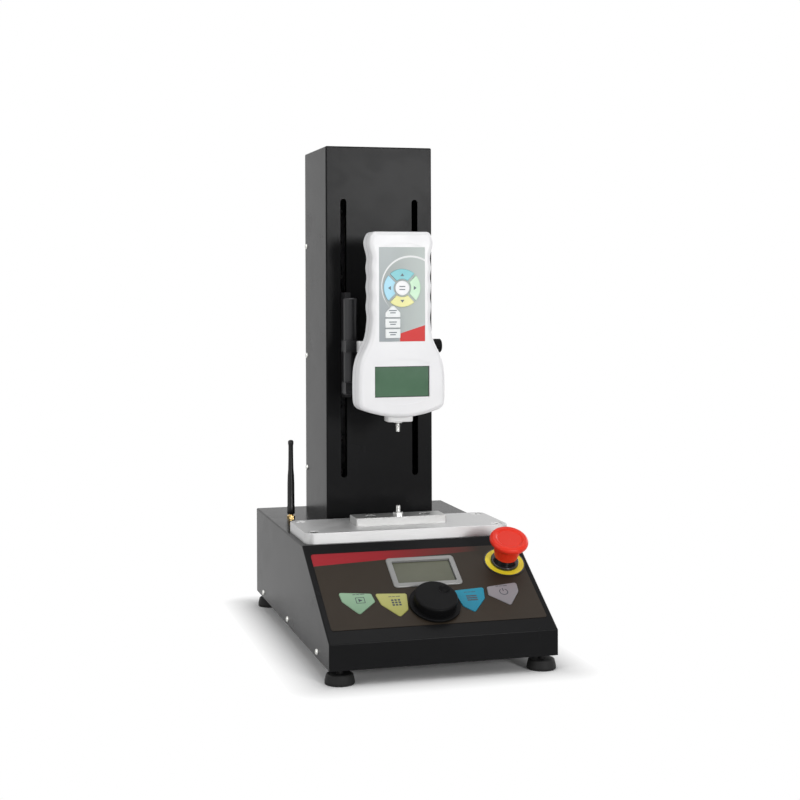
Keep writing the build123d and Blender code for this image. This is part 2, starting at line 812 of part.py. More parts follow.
# Motor shaft with its belt pulley, and the drive screw with the larger pulley on its lower
# journal. The screw's thread is shown plain.
pulley_bottom = frame_top + 3.0
belt_bottom = pulley_bottom + pulley_flange + 0.5
pulley_height = belt_width + 2 * pulley_flange + 1.0
with BuildPart() as motor_pulley:
    with BuildSketch(Plane.XY.offset(frame_bottom - 26.0)):
        with Locations((0, motor_y)):
            Circle(motor_shaft_radius)
    extrude(amount=pulley_bottom + pulley_height + 1.0 - frame_bottom + 26.0)
    with BuildSketch(Plane.XY.offset(pulley_bottom)):
        with Locations((0, motor_y)):
            Circle(motor_pulley_radius)
    extrude(amount=pulley_height)
    for level in (pulley_bottom, pulley_bottom + pulley_height - pulley_flange):
        with BuildSketch(Plane.XY.offset(level)):
            with Locations((0, motor_y)):
                Circle(motor_pulley_radius + 2.5)
        extrude(amount=pulley_flange)
motor_pulley.part.label = "motor_pulley"
export_step(motor_pulley.part, "parts/motor_pulley.step")

bearing_bottom = deck_z + 5.0
bearing_height = 18.0
upper_bearing_bottom = column_top - 42.0
with BuildPart() as drive_screw:
    with BuildSketch(Plane.XY.offset(pulley_bottom)):
        with Locations((0, screw_y)):
            Circle(journal_radius)
    extrude(amount=upper_bearing_bottom + bearing_height - pulley_bottom - 2.0)
    with BuildSketch(Plane.XY.offset(bearing_bottom + bearing_height + 1.0)):
        with Locations((0, screw_y)):
            Circle(screw_radius)
    extrude(amount=upper_bearing_bottom - bearing_bottom - bearing_height - 2.0)
    with BuildSketch(Plane.XY.offset(pulley_bottom)):
        with Locations((0, screw_y)):
            Circle(screw_pulley_radius)
    extrude(amount=pulley_height)
    for level in (pulley_bottom, pulley_bottom + pulley_height - pulley_flange):
        with BuildSketch(Plane.XY.offset(level)):
            with Locations((0, screw_y)):
                Circle(screw_pulley_radius + 2.5)
        extrude(amount=pulley_flange)
    with BuildSketch(Plane.XY.offset(pulley_bottom)):
        with Locations((0, screw_y)):
            with PolarLocations(0.68 * screw_pulley_radius, 5):
                Circle(0.14 * screw_pulley_radius)
    extrude(amount=pulley_height, mode=Mode.SUBTRACT)
drive_screw.part.label = "drive_screw"
export_step(drive_screw.part, "parts/drive_screw.step")

# Belt around both pulleys: the tangent loop of two circles, one belt thickness wide
wrap = asin((screw_pulley_radius - motor_pulley_radius) / pulley_centres)


def belt_loop(gap):
    """Closed loop around both pulleys at the given distance from their treads."""
    small = motor_pulley_radius + gap
    large = screw_pulley_radius + gap
    with BuildSketch(Plane.XY.offset(belt_bottom)) as loop:
        with BuildLine():
            small_side = (small * cos(wrap), motor_y - small * sin(wrap))
            large_side = (large * cos(wrap), screw_y - large * sin(wrap))
            Line(small_side, large_side)
            ThreePointArc(large_side, (0, screw_y + large), (-large_side[0], large_side[1]))
            Line((-large_side[0], large_side[1]), (-small_side[0], small_side[1]))
            ThreePointArc((-small_side[0], small_side[1]), (0, motor_y - small), small_side)
        make_face()
    return loop.sketch


with BuildPart() as drive_belt:
    extrude(belt_loop(slip + belt_thick), amount=belt_width)
    extrude(belt_loop(slip), amount=belt_width, mode=Mode.SUBTRACT)
drive_belt.part.label = "drive_belt"
export_step(drive_belt.part, "parts/drive_belt.step")

# Power supply on the tray's floor, between the motor and the right-hand legs
with BuildPart() as power_supply:
    supply_width = 42.0
    supply_depth = 105.0
    supply_height = 38.0
    supply_clearance = 15.0
    supply_leg_gap = 5.5
    supply_x = frame_side - 1.5 * leg_size - supply_leg_gap - supply_width / 2
    supply_y = rear_y - inlet_depth - supply_clearance - supply_depth / 2
    with BuildSketch(Plane.XY.offset(tray_floor)):
        with Locations((supply_x, supply_y)):
            RectangleRounded(supply_width, supply_depth, 2.0)
    extrude(amount=supply_height)
    with BuildSketch(Plane.XY.offset(tray_floor + supply_height)):
        with Locations((supply_x, supply_y)):
            with GridLocations(0, 8.0, 1, 8):
                SlotOverall(0.7 * supply_width, 3.0)
    extrude(amount=-1.5, mode=Mode.SUBTRACT)
power_supply.part.label = "power_supply"
export_step(power_supply.part, "parts/power_supply.step")

# Mains inlet with its own switch well, snapped into the rear wall
inlet_flange = 3.0
rocker_spot = (inlet_spot[0], inlet_spot[1] + 0.27 * inlet_height)
socket_spot = (inlet_spot[0], inlet_spot[1] - 0.19 * inlet_height)
rocker_width = 19.0
rocker_height = 12.5
with BuildPart() as power_inlet:
    with BuildSketch(rear_plane):
        with Locations(rear_spot(inlet_spot)):
            RectangleRounded(inlet_width + 2 * inlet_flange, inlet_height + 2 * inlet_flange, 3.0)
    extrude(amount=2.5)
    chamfer(power_inlet.faces().sort_by(Axis.Y)[-1].edges(), 0.8)
    with BuildSketch(rear_plane):
        with Locations(rear_spot(inlet_spot)):
            Rectangle(inlet_width - slip, inlet_height - slip)
    extrude(amount=-inlet_depth)
    with BuildSketch(rear_plane.offset(2.5)) as socket_mouth:
        with Locations(rear_spot(socket_spot)):
            Rectangle(24.0, 16.0)
        chamfer(socket_mouth.vertices().sort_by(Axis.Z)[-2:], 4.0)
    extrude(amount=-17.0, mode=Mode.SUBTRACT)
    with BuildSketch(rear_plane.offset(2.5)):
        with Locations(rear_spot(rocker_spot)):
            Rectangle(rocker_width + 1.0, rocker_height + 1.0)
    extrude(amount=-14.0, mode=Mode.SUBTRACT)
    with BuildSketch(rear_plane.offset(-14.5)):
        with Locations(rear_spot(socket_spot)):
            with Locations((0, 3.0), (-7.0, -2.0), (7.0, -2.0)):
                Rectangle(2.0, 4.0)
    extrude(amount=11.0)
power_inlet.part.label = "power_inlet"
export_step(power_inlet.part, "parts/power_inlet.step")

# Power rocker in the inlet's well, drawn flat side level with the wall and tipped when set
rocker_pivot = 3.0
rocker_sink = 0.5
rocker_end_gap = 1.25
rocker_axis_y = rear_y - rocker_sink
with BuildPart() as power_rocker:
    with BuildSketch(Plane.YZ.offset(rocker_spot[0] - rocker_width / 2)):
        with BuildLine():
            low = rocker_spot[1] - rocker_height / 2 + rocker_end_gap
            high = rocker_spot[1] + rocker_height / 2 - rocker_end_gap
            Polyline(
                (rocker_axis_y - rocker_pivot, rocker_spot[1] - rocker_pivot),
                (rear_y + 1.8, low),
                (rear_y + 2.0, rocker_spot[1]),
                (rear_y + 4.2, high),
                (rocker_axis_y - 1.0, high - 0.4),
                (rocker_axis_y - rocker_pivot, rocker_spot[1] + rocker_pivot),
                close=True,
            )
        make_face()
    extrude(amount=rocker_width)
    with BuildSketch(Plane.YZ.offset(rocker_spot[0] - rocker_width / 2 - slip)):
        with Locations((rocker_axis_y, rocker_spot[1])):
            Circle(rocker_pivot / 2)
    extrude(amount=rocker_width + 2 * slip)
power_rocker.part.label = "power_rocker"
export_step(power_rocker.part, "parts/power_rocker.step")

# Data sockets on the rear wall: a nine-way serial socket and a square one
with BuildPart() as data_sockets:
    for spot, width, height in (
        (serial_spot, serial_width, serial_height),
        (usb_spot, usb_width, usb_height),
    ):
        with BuildSketch(rear_plane):
            with Locations(rear_spot(spot)):
                Rectangle(width - slip, height - slip)
        extrude(amount=-14.0)
        with BuildSketch(rear_plane.offset(-14.0)):
            with Locations(rear_spot(spot)):
                Rectangle(width + 6.0, height + 6.0)
        extrude(amount=-1.6)
    with BuildSketch(rear_plane):
        with Locations(rear_spot(serial_spot)):
            RectangleRounded(serial_width + 6.0, serial_height + 3.0, 1.5)
    extrude(amount=0.8)
    with BuildSketch(rear_plane.offset(0.8)):
        with Locations(rear_spot(serial_spot)):
            RectangleRounded(serial_width - 6.0, serial_height - 1.0, 3.0)
    extrude(amount=rear_reach - 0.8)
    with BuildSketch(rear_plane.offset(rear_reach)):
        with Locations(rear_spot(serial_spot)):
            RectangleRounded(serial_width - 7.4, serial_height - 2.4, 2.4)
    extrude(amount=-6.5, mode=Mode.SUBTRACT)
    with BuildSketch(rear_plane):
        with Locations(rear_spot(usb_spot)):
            Rectangle(usb_width - 2.0, usb_height - 2.0)
    extrude(amount=-11.0, mode=Mode.SUBTRACT)
    with BuildSketch(rear_plane.offset(-11.5)):
        with Locations(rear_spot(usb_spot)):
            Rectangle(5.0, 2.4)
    extrude(amount=5.5)
data_sockets.part.label = "data_sockets"
export_step(data_sockets.part, "parts/data_sockets.step")

# Column cover: front, both sides and the top of one folded sheet, with the two slots
with BuildPart() as column_cover:
    with BuildSketch(Plane.XY.offset(deck_z)):
        with Locations((0, column_front + column_depth / 2)):
            Rectangle(column_width, column_depth)
    extrude(amount=column_height)
    folds = column_cover.edges().filter_by(
        lambda e: e.center().Y < column_rear - sheet and e.center().Z > deck_z + sheet
    )
    fillet(folds, bend_radius)
    with BuildSketch(Plane.XY.offset(deck_z)):
        with Locations((0, column_front + sheet + column_depth / 2)):
            Rectangle(column_width - 2 * sheet, column_depth)
    extrude(amount=column_height - sheet, mode=Mode.SUBTRACT)
    with BuildSketch(Plane.XZ.offset(-column_front)):
        for side in (-1, 1):
            with Locations((side * slot_x, deck_z + slot_bottom + slot_length / 2)):
                SlotOverall(slot_length, slot_width, rotation=90)
    extrude(amount=-2 * sheet, mode=Mode.SUBTRACT)
    with BuildSketch(Plane.YZ.offset(-column_side)):
        with Locations(*[(spine_front + spine_thick / 2, z) for z in column_screw_levels]):
            Circle(screw_shank + slip)
    extrude(amount=column_width, mode=Mode.SUBTRACT)
column_cover.part.label = "column_cover"
export_step(column_cover.part, "parts/column_cover.step")

# Column spine: the thick back plate that carries the rails, standing on the load frame
with BuildPart() as column_spine:
    with BuildSketch(Plane.XY.offset(deck_z)):
        with Locations((0, spine_front + spine_thick / 2)):
            Rectangle(column_width - 2 * sheet, spine_thick)
    extrude(amount=column_height - sheet)
    with BuildSketch(Plane.XY.offset(frame_top)):
        with Locations((0, spine_front + (spine_thick - 4 * sheet) / 2)):
            Rectangle(column_width - 14 * sheet, spine_thick - 4 * sheet)
    extrude(amount=deck_z - frame_top)
    with BuildSketch(Plane.XY.offset(frame_top)):
        with Locations((0, spine_front - 8.0)):
            Rectangle(column_width - 14 * sheet, 18.0)
    extrude(amount=10.0)
    with BuildSketch(Plane.YZ.offset(-column_side)):
        with Locations(*[(spine_front + spine_thick / 2, z) for z in column_screw_levels]):
            Circle(screw_shank + slip)
    extrude(amount=4.5, mode=Mode.SUBTRACT)
    with BuildSketch(Plane.YZ.offset(column_side)):
        with Locations(*[(spine_front + spine_thick / 2, z) for z in column_screw_levels]):
            Circle(screw_shank + slip)
    extrude(amount=-4.5, mode=Mode.SUBTRACT)
column_spine.part.label = "column_spine"
export_step(column_spine.part, "parts/column_spine.step")

# Two profile rails on the spine
rail_bottom = deck_z + 30.0
rail_length = column_height - 80.0
with BuildPart() as guide_rails:
    for side in (-1, 1):
        with BuildSketch(Plane.XY.offset(rail_bottom)):
            with Locations((side * rail_spread / 2, spine_front - rail_height / 2)):
                Rectangle(rail_width, rail_height)
        extrude(amount=rail_length)
    with BuildSketch(Plane.XZ.offset(-spine_front + rail_height)):
        with Locations((0, rail_bottom + rail_length / 2)):
            with GridLocations(rail_spread, rail_length / 9, 2, 9):
                Circle(3.0)
    extrude(amount=-rail_height / 2, mode=Mode.SUBTRACT)
guide_rails.part.label = "guide_rails"
export_step(guide_rails.part, "parts/guide_rails.step")

# Bearing blocks at both ends of the screw, bolted to the spine
with BuildPart() as screw_bearings:
    for level in (bearing_bottom, upper_bearing_bottom):
        with BuildSketch(Plane.XY.offset(level)):
            with Locations((0, (spine_front + screw_y - 18.0) / 2)):
                Rectangle(44.0, spine_front - screw_y + 18.0)
            with Locations((0, screw_y)):
                Circle(journal_radius + running, mode=Mode.SUBTRACT)
        extrude(amount=bearing_height)
    chamfer(screw_bearings.edges().filter_by(Axis.Z).filter_by(
        lambda e: e.center().Y < screw_y - 10.0
    ), 5.0)
screw_bearings.part.label = "screw_bearings"
export_step(screw_bearings.part, "parts/screw_bearings.step")

# Carriage: plate behind the screw, a bridge around the nut and the two arms that come out
# through the column's slots
carriage_back = spine_front - rail_height - 5.0
carriage_thick = 12.0
nut_radius = 11.0
nut_bottom = arm_bottom + 0.38 * arm_height
nut_length = 30.0
arm_front = post_y + post_radius - 1.0
with BuildPart() as carriage:
    with BuildSketch(Plane.XY.offset(arm_bottom)):
        with Locations((0, carriage_back - carriage_thick / 2)):
            Rectangle(slot_spread + arm_thick, carriage_thick)
        for side in (-1, 1):
            with Locations((side * slot_x, (arm_front + carriage_back) / 2)):
                Rectangle(arm_thick, carriage_back - arm_front)
    extrude(amount=arm_height)
    with BuildSketch(Plane.XY.offset(nut_bottom)):
        with Locations((0, (screw_y - 16.0 + carriage_back - carriage_thick) / 2)):
            Rectangle(34.0, carriage_back - carriage_thick - screw_y + 16.0)
    extrude(amount=nut_length)
    with BuildSketch(Plane.XY.offset(nut_bottom)):
        with Locations((0, screw_y)):
            Circle(nut_radius + slip)
    extrude(amount=nut_length, mode=Mode.SUBTRACT)
    # Lightening windows in the arms
    with BuildSketch(Plane.YZ.offset(-slot_x - arm_thick)):
        with Locations(((column_front + carriage_back) / 2, arm_bottom + arm_height / 2)):
            RectangleRounded(0.5 * (carriage_back - column_front), 0.6 * arm_height, 6.0)
    extrude(amount=2 * slot_x + 2 * arm_thick, mode=Mode.SUBTRACT)
    with BuildSketch(Plane.XY.offset(nut_bottom)):
        with Locations((0, (screw_y - 16.0 + carriage_back - carriage_thick) / 2)):
            Rectangle(34.0, carriage_back - carriage_thick - screw_y + 16.0)
        with Locations((0, screw_y)):
            Circle(nut_radius + slip, mode=Mode.SUBTRACT)
    extrude(amount=nut_length)
carriage.part.label = "carriage"
export_step(carriage.part, "parts/carriage.step")

# Four rail blocks that carry the carriage
with BuildPart() as rail_blocks:
    for side in (-1, 1):
        for level in (arm_bottom + 7.0, arm_bottom + arm_height - block_length - 7.0):
            with BuildSketch(Plane.XY.offset(level)):
                with Locations((side * rail_spread / 2, carriage_back + (block_height + 1.5) / 2)):
                    Rectangle(block_width, block_height + 1.5)
                with Locations(
                    (side * rail_spread / 2, spine_front - rail_height / 2 - slip / 2)
                ):
                    Rectangle(rail_width + slip, rail_height + slip, mode=Mode.SUBTRACT)
            extrude(amount=block_length)
rail_blocks.part.label = "rail_blocks"
export_step(rail_blocks.part, "parts/rail_blocks.step")

# Flanged nut on the screw
with BuildPart() as screw_nut:
    with BuildSketch(Plane.XY.offset(nut_bottom)):
        with Locations((0, screw_y)):
            Circle(nut_radius)
    extrude(amount=nut_length)
    with BuildSketch(Plane.XY.offset(nut_bottom + nut_length)):
        with Locations((0, screw_y)):
            Circle(nut_radius + 4.0)
    extrude(amount=6.0)
    with BuildSketch(Plane.XY.offset(nut_bottom)):
        with Locations((0, screw_y)):
            Circle(screw_radius + running)
    extrude(amount=nut_length + 6.0, mode=Mode.SUBTRACT)
screw_nut.part.label = "screw_nut"
export_step(screw_nut.part, "parts/screw_nut.step")

# Two round posts in front of the slots, each with a groove for the arm's edge
with BuildPart() as guide_posts:
    for side in (-1, 1):
        with BuildSketch(Plane.XY.offset(post_bottom)):
            with Locations((side * post_x, post_y)):
                Circle(post_radius)
        extrude(amount=post_length)
    chamfer(guide_posts.edges().filter_by(GeomType.CIRCLE), 1.0)
    for side in (-1, 1):
        with BuildSketch(Plane.XY.offset(post_bottom)):
            with Locations((side * slot_x, arm_front + post_radius / 2)):
                Rectangle(arm_thick + slip, post_radius)
        extrude(amount=post_length, mode=Mode.SUBTRACT)
guide_posts.part.label = "guide_posts"
export_step(guide_posts.part, "parts/guide_posts.step")

# Gauge bracket: a back plate whose four clamp blocks grip the posts
bracket_front = gauge_back + clamp_bar_depth
clamp_front = bracket_front + bracket_thick
clamp_inner = post_x - clamp_width / 2 - 0.2
with BuildPart() as gauge_bracket:
    with BuildSketch(Plane.XZ.offset(-bracket_front)):
        with Locations((0, (clamp_levels[0] + clamp_levels[1] + clamp_height) / 2)):
            RectangleRounded(0.7 * post_spread, bracket_plate_height, bracket_plate_radius)
    extrude(amount=-bracket_thick)
    for level in clamp_levels:
        with BuildSketch(Plane.XY.offset(level)):
            with Locations((0, bracket_front + 7.5)):
                Rectangle(2 * clamp_inner + 1.0, 15.0)
            for side in (-1, 1):
                with Locations((side * (post_x - 0.2), clamp_front + clamp_depth / 2)):
                    Rectangle(clamp_width, clamp_depth)
            for side in (-1, 1):
                with Locations((side * post_x, post_y)):
                    Circle(post_radius + slip, mode=Mode.SUBTRACT)
        extrude(amount=clamp_height)
gauge_bracket.part.label = "gauge_bracket"
export_step(gauge_bracket.part, "parts/gauge_bracket.step")

# Bright clamp bar across the gauge's back, with the knob's tapped end on the right
clamp_bar_level = clamp_levels[1] + clamp_height / 2 + 0.6
clamp_bar_y = gauge_back + clamp_bar_depth / 2
with BuildPart() as gauge_clamp_bar:
    with BuildSketch(Plane.YZ.offset(-clamp_bar_width / 2)):
        with Locations((clamp_bar_y, clamp_bar_level)):
            RectangleRounded(clamp_bar_depth, clamp_bar_height, 1.5)
    extrude(amount=clamp_bar_width)
    with BuildSketch(Plane.YZ.offset(clamp_bar_width / 2)):
        with Locations((clamp_bar_y, clamp_bar_level)):
            Circle(spindle_radius + running)
    extrude(amount=-12.0, mode=Mode.SUBTRACT)
gauge_clamp_bar.part.label = "gauge_clamp_bar"
export_step(gauge_clamp_bar.part, "parts/gauge_clamp_bar.step")

# Clamp knob on its spindle
knob_start = clamp_bar_width / 2 + knob_gap
with BuildPart() as clamp_knob:
    with BuildSketch(Plane.YZ.offset(knob_start)):
        with Locations((clamp_bar_y, clamp_bar_level)):
            Circle(knob_radius)
    extrude(amount=knob_length)
    chamfer(clamp_knob.edges().filter_by(GeomType.CIRCLE), 1.0)
    with BuildSketch(Plane.YZ.offset(knob_start)):
        with Locations((clamp_bar_y, clamp_bar_level)):
            with PolarLocations(knob_radius + 0.6, 12):
                Circle(1.1)
    extrude(amount=knob_length, mode=Mode.SUBTRACT)
    with BuildSketch(Plane.YZ.offset(clamp_bar_width / 2 - 11.0)):
        with Locations((clamp_bar_y, clamp_bar_level)):
            Circle(spindle_radius)
    extrude(amount=knob_start - clamp_bar_width / 2 + 12.0)
clamp_knob.part.label = "clamp_knob"
export_step(clamp_knob.part, "parts/clamp_knob.step")

# Right half of the gauge's outline as shares of its greatest half width and of its height.
# Ears at the top, a waisted grip with finger scallops, wide shoulders around the display.
side_shares = [
    (0.633, 0.998), (0.700, 0.975), (0.735, 0.940), (0.697, 0.893), (0.668, 0.856),
    (0.690, 0.804), (0.668, 0.752), (0.690, 0.700), (0.668, 0.648), (0.690, 0.596),
    (0.668, 0.544), (0.681, 0.492), (0.713, 0.440), (0.787, 0.390), (0.887, 0.342),
    (0.961, 0.290), (0.990, 0.240), (1.000, 0.180), (0.999, 0.130), (0.993, 0.092),
    (0.965, 0.063), (0.900, 0.046), (0.780, 0.034), (0.590, 0.021), (0.390, 0.0105),
    (0.190, 0.0030), (0.0, 0.0),
]


def gauge_outline(plane, inset):
    """The gauge's outline on a plane, drawn in by inset on every side."""
    centre = gauge_bottom + gauge_height / 2
    stretch = (gauge_height - 2 * inset) / gauge_height
    squeeze = (gauge_half_width - inset) / gauge_half_width
    right = [
        (across * gauge_half_width * squeeze, centre + (up - 0.5) * gauge_height * stretch)
        for across, up in side_shares
    ]
    left = [(-x, z) for x, z in reversed(right[:-1])]
    with BuildSketch(plane) as outline:
        with BuildLine():
            Spline(*right, *left)
            Line(left[-1], right[0])
        make_face()
        fillet(outline.vertices(), gauge_corner)
    return outline.sketch


# Gauge keypad, seen from the front. The ring of four keys surrounds the centre key and
# three small keys stand below on the left.
ring_x = 0.0
ring_z = gauge_bottom + 0.696 * gauge_height
ring_inner = 9.6
ring_outer = 20.0
ring_gap = 1.3
centre_key_radius = 7.6
pad_gap = 0.2
pad_lip = 0.45
pad_travel = 0.3
pad_rise = 0.9
front_plane = Plane.XZ.offset(-gauge_front)
small_key_left = -18.6
small_key_width = 16.4
small_key_height = 9.6
small_key_pitch = 11.0
overlay_bottom = gauge_bottom + 0.410 * gauge_height
overlay_top = gauge_bottom + 0.914 * gauge_height
gauge_overlay_half = 25.0


def ring_key(plane, turn, grow):
    """One quarter of the key ring, grown by grow. turn is the direction it points in."""
    half = 45.0 - degrees(ring_gap / ring_outer)
    inner = ring_inner - grow
    outer = ring_outer + grow
    cut = ring_gap - grow
    with BuildSketch(plane) as key:
        with Locations((ring_x, ring_z)):
            Circle(outer)
            Circle(inner, mode=Mode.SUBTRACT)
            with Locations(Rotation(0, 0, turn)):
                with Locations((-outer, 0)):
                    Rectangle(2 * outer, 2 * outer, mode=Mode.SUBTRACT)
                for way in (-1, 1):
                    with Locations(Rotation(0, 0, way * 45.0)):
                        with Locations((0, way * (outer - cut))):
                            Rectangle(4 * outer, 2 * outer, mode=Mode.SUBTRACT)
    return key.sketch


def centre_key(plane, grow):
    """The round key in the middle of the ring."""
    with BuildSketch(plane) as key:
        with Locations((ring_x, ring_z)):
            Circle(centre_key_radius + grow)
    return key.sketch


def small_key(plane, row, grow):
    """One small key. Rows 0 and 1 are plain, row 2 has a gable like a house."""
    bottom = overlay_bottom + 3.6 + row * small_key_pitch
    left = small_key_left
    right = small_key_left + small_key_width
    top = bottom + small_key_height
    with BuildSketch(plane) as key:
        with BuildLine():
            if row == 2:
                Polyline(
                    (left, bottom), (right, bottom), (right, bottom + 0.5 * small_key_height),
                    ((left + right) / 2 + 1.6, top + 2.2), ((left + right) / 2 - 1.6, top + 2.2),
                    (left, bottom + 0.5 * small_key_height), close=True,
                )
            else:
                Polyline((left, bottom), (right, bottom), (right, top), (left, top), close=True)
        make_face()
        fillet(key.vertices(), 0.8)
        if grow:
            offset(amount=grow)
    return key.sketch


ring_names = {"gauge_key_right": 0, "gauge_key_up": 90, "gauge_key_left": 180, "gauge_key_down": 270}
small_names = {"gauge_key_zero": 0, "gauge_key_units": 1, "gauge_key_home": 2}


def keypad(plane, grow):
    """All eight key outlines on one plane."""
    shapes = [ring_key(plane, turn, grow) for turn in ring_names.values()]
    shapes.append(centre_key(plane, grow))
    shapes += [small_key(plane, row, grow) for row in small_names.values()]
    return shapes


lens_half = 30.0
lens_recess = 2.2
lens_bottom = gauge_bottom + 0.111 * gauge_height
lens_top = gauge_bottom + 0.277 * gauge_height
lens_centre = (0, (lens_bottom + lens_top) / 2)
hollow_depth = 0.7
brow_half = 21.0
brow_rise = 4.2
brow_level = overlay_top + 0.8

# Rear half of the gauge's case
with BuildPart() as gauge_rear_shell:
    extrude(gauge_outline(Plane.XZ.offset(-gauge_split), 0), amount=gauge_split - gauge_back)
    fillet(gauge_rear_shell.faces().sort_by(Axis.Y)[-1].edges(), gauge_edge)
    extrude(
        gauge_outline(Plane.XZ.offset(-gauge_split), gauge_wall),
        amount=gauge_split - gauge_back + gauge_wall,
        mode=Mode.SUBTRACT,
    )
    with BuildSketch(Plane.XY.offset(gauge_bottom - 2.0)):
        with Locations((0, gauge_split)):
            RectangleRounded(nose_width + slip, nose_depth + slip, nose_corner)
    extrude(amount=gauge_wall + 6.0, mode=Mode.SUBTRACT)
gauge_rear_shell.part.label = "gauge_rear_shell"
export_step(gauge_rear_shell.part, "parts/gauge_rear_shell.step")

# Front half of the case, with the recess for the overlay, the keypad's openings, the
# display window and the three shallow arched hollows around them
with BuildPart() as gauge_front_shell:
    extrude(gauge_outline(Plane.XZ.offset(-gauge_split), 0), amount=gauge_split - gauge_front)
    fillet(gauge_front_shell.faces().sort_by(Axis.Y)[0].edges(), gauge_edge)
    extrude(
        gauge_outline(Plane.XZ.offset(-gauge_split), gauge_wall),
        amount=gauge_split - gauge_front - gauge_wall,
        mode=Mode.SUBTRACT,
    )
    with BuildSketch(Plane.XY.offset(gauge_bottom - 2.0)):
        with Locations((0, gauge_split)):
            RectangleRounded(nose_width + slip, nose_depth + slip, nose_corner)
    extrude(amount=gauge_wall + 6.0, mode=Mode.SUBTRACT)
    with BuildSketch(front_plane):
        with Locations((0, (overlay_bottom + overlay_top) / 2)):
            Rectangle(2 * gauge_overlay_half + slip, overlay_top - overlay_bottom + slip)
    extrude(amount=-0.5, mode=Mode.SUBTRACT)
    for shape in keypad(front_plane.offset(1.0), pad_gap):
        extrude(shape, amount=-gauge_wall - 3.0, mode=Mode.SUBTRACT)
    with BuildSketch(front_plane):
        with Locations(lens_centre):
            Rectangle(2 * lens_half, lens_top - lens_bottom)
    extrude(amount=-gauge_wall - 1.0, mode=Mode.SUBTRACT)
    with BuildSketch(front_plane):
        with BuildLine():
            ThreePointArc((-lens_half, lens_top + 2.5), (0, lens_top + 8.0), (lens_half, lens_top + 2.5))
            Line((lens_half, lens_top + 2.5), (-lens_half, lens_top + 2.5))
        make_face()
        with BuildLine():
            ThreePointArc(
                (-lens_half, lens_bottom - 2.0), (0, lens_bottom - 7.5), (lens_half, lens_bottom - 2.0)
            )
            Line((lens_half, lens_bottom - 2.0), (-lens_half, lens_bottom - 2.0))
        make_face()
        with BuildLine():
            ThreePointArc((-brow_half, brow_level), (0, brow_level + brow_rise), (brow_half, brow_level))
            Line((brow_half, brow_level), (-brow_half, brow_level))
        make_face()
    extrude(amount=-hollow_depth, mode=Mode.SUBTRACT)
gauge_front_shell.part.label = "gauge_front_shell"
export_step(gauge_front_shell.part, "parts/gauge_front_shell.step")

# Printed overlay of the gauge
with BuildPart() as gauge_overlay:
    with BuildSketch(front_plane.offset(-0.5)):
        with Locations((0, (overlay_bottom + overlay_top) / 2)):
            Rectangle(2 * gauge_overlay_half, overlay_top - overlay_bottom)
    extrude(amount=0.6)
    for shape in keypad(front_plane.offset(1.0), pad_gap):
        extrude(shape, amount=-3.0, mode=Mode.SUBTRACT)
gauge_overlay.part.label = "gauge_overlay"
export_step(gauge_overlay.part, "parts/gauge_overlay.step")

# Gauge keys: cap, lip behind the case's wall and a stem to the board
pad_back = gauge_wall + 1.1
dome_level = pad_back + 2.8 + pad_travel
gauge_keys = [(name, ring_key, turn) for name, turn in ring_names.items()]
gauge_keys += [(name, small_key, row) for name, row in small_names.items()]
key_mid = (ring_inner + ring_outer) / 2
stem_spots = {
    "gauge_key_right": (ring_x + key_mid, ring_z),
    "gauge_key_left": (ring_x - key_mid, ring_z),
    "gauge_key_up": (ring_x, ring_z + key_mid),
    "gauge_key_down": (ring_x, ring_z - key_mid),
    "gauge_key_centre": (ring_x, ring_z),
}
for name, row in small_names.items():
    stem_spots[name] = (
        small_key_left + small_key_width / 2,
        overlay_bottom + 3.6 + (row + 0.44) * small_key_pitch,
    )
key_shapes = {name: (draw, which) for name, draw, which in gauge_keys}
for name, spot in stem_spots.items():
    if name in key_shapes:
        draw, which = key_shapes[name]
        cap_face = draw(front_plane.offset(-pad_back), which, 0)
        lip_face = draw(front_plane.offset(-pad_back), which, pad_lip)
    else:
        cap_face = centre_key(front_plane.offset(-pad_back), 0)
        lip_face = centre_key(front_plane.offset(-pad_back), pad_lip)
    with BuildPart() as gauge_key:
        extrude(cap_face, amount=pad_back + pad_rise)
        chamfer(gauge_key.faces().sort_by(Axis.Y)[0].edges(), 0.25)
        extrude(lip_face, amount=1.05)
        with BuildSketch(front_plane.offset(-pad_back - 2.8)):
            with Locations(spot):
                Circle(1.5)
        extrude(amount=3.0)
    gauge_key.part.label = name
    export_step(gauge_key.part, "parts/" + name + ".step")

# Gauge display with the board behind it
board_plane = front_plane.offset(-dome_level - 0.7)
with BuildPart() as gauge_display:
    with BuildSketch(board_plane):
        with Locations((0, (lens_bottom + overlay_top) / 2 - 3.0)):
            Rectangle(2 * gauge_overlay_half + 4.0, overlay_top - lens_bottom)
    extrude(amount=-1.6)
    with BuildSketch(board_plane):
        with Locations(*stem_spots.values()):
            Circle(2.6)
    extrude(amount=0.65)
    with BuildSketch(board_plane):
        with Locations(lens_centre):
            Rectangle(2 * lens_half + 4.0, lens_top - lens_bottom + 4.0)
    extrude(amount=dome_level + 0.7 - gauge_wall - 0.2)
    with BuildSketch(board_plane):
        with Locations(lens_centre):
            Rectangle(2 * lens_half - slip, lens_top - lens_bottom - slip)
    extrude(amount=dome_level + 0.7 - lens_recess)
gauge_display.part.label = "gauge_display"
export_step(gauge_display.part, "parts/gauge_display.step")

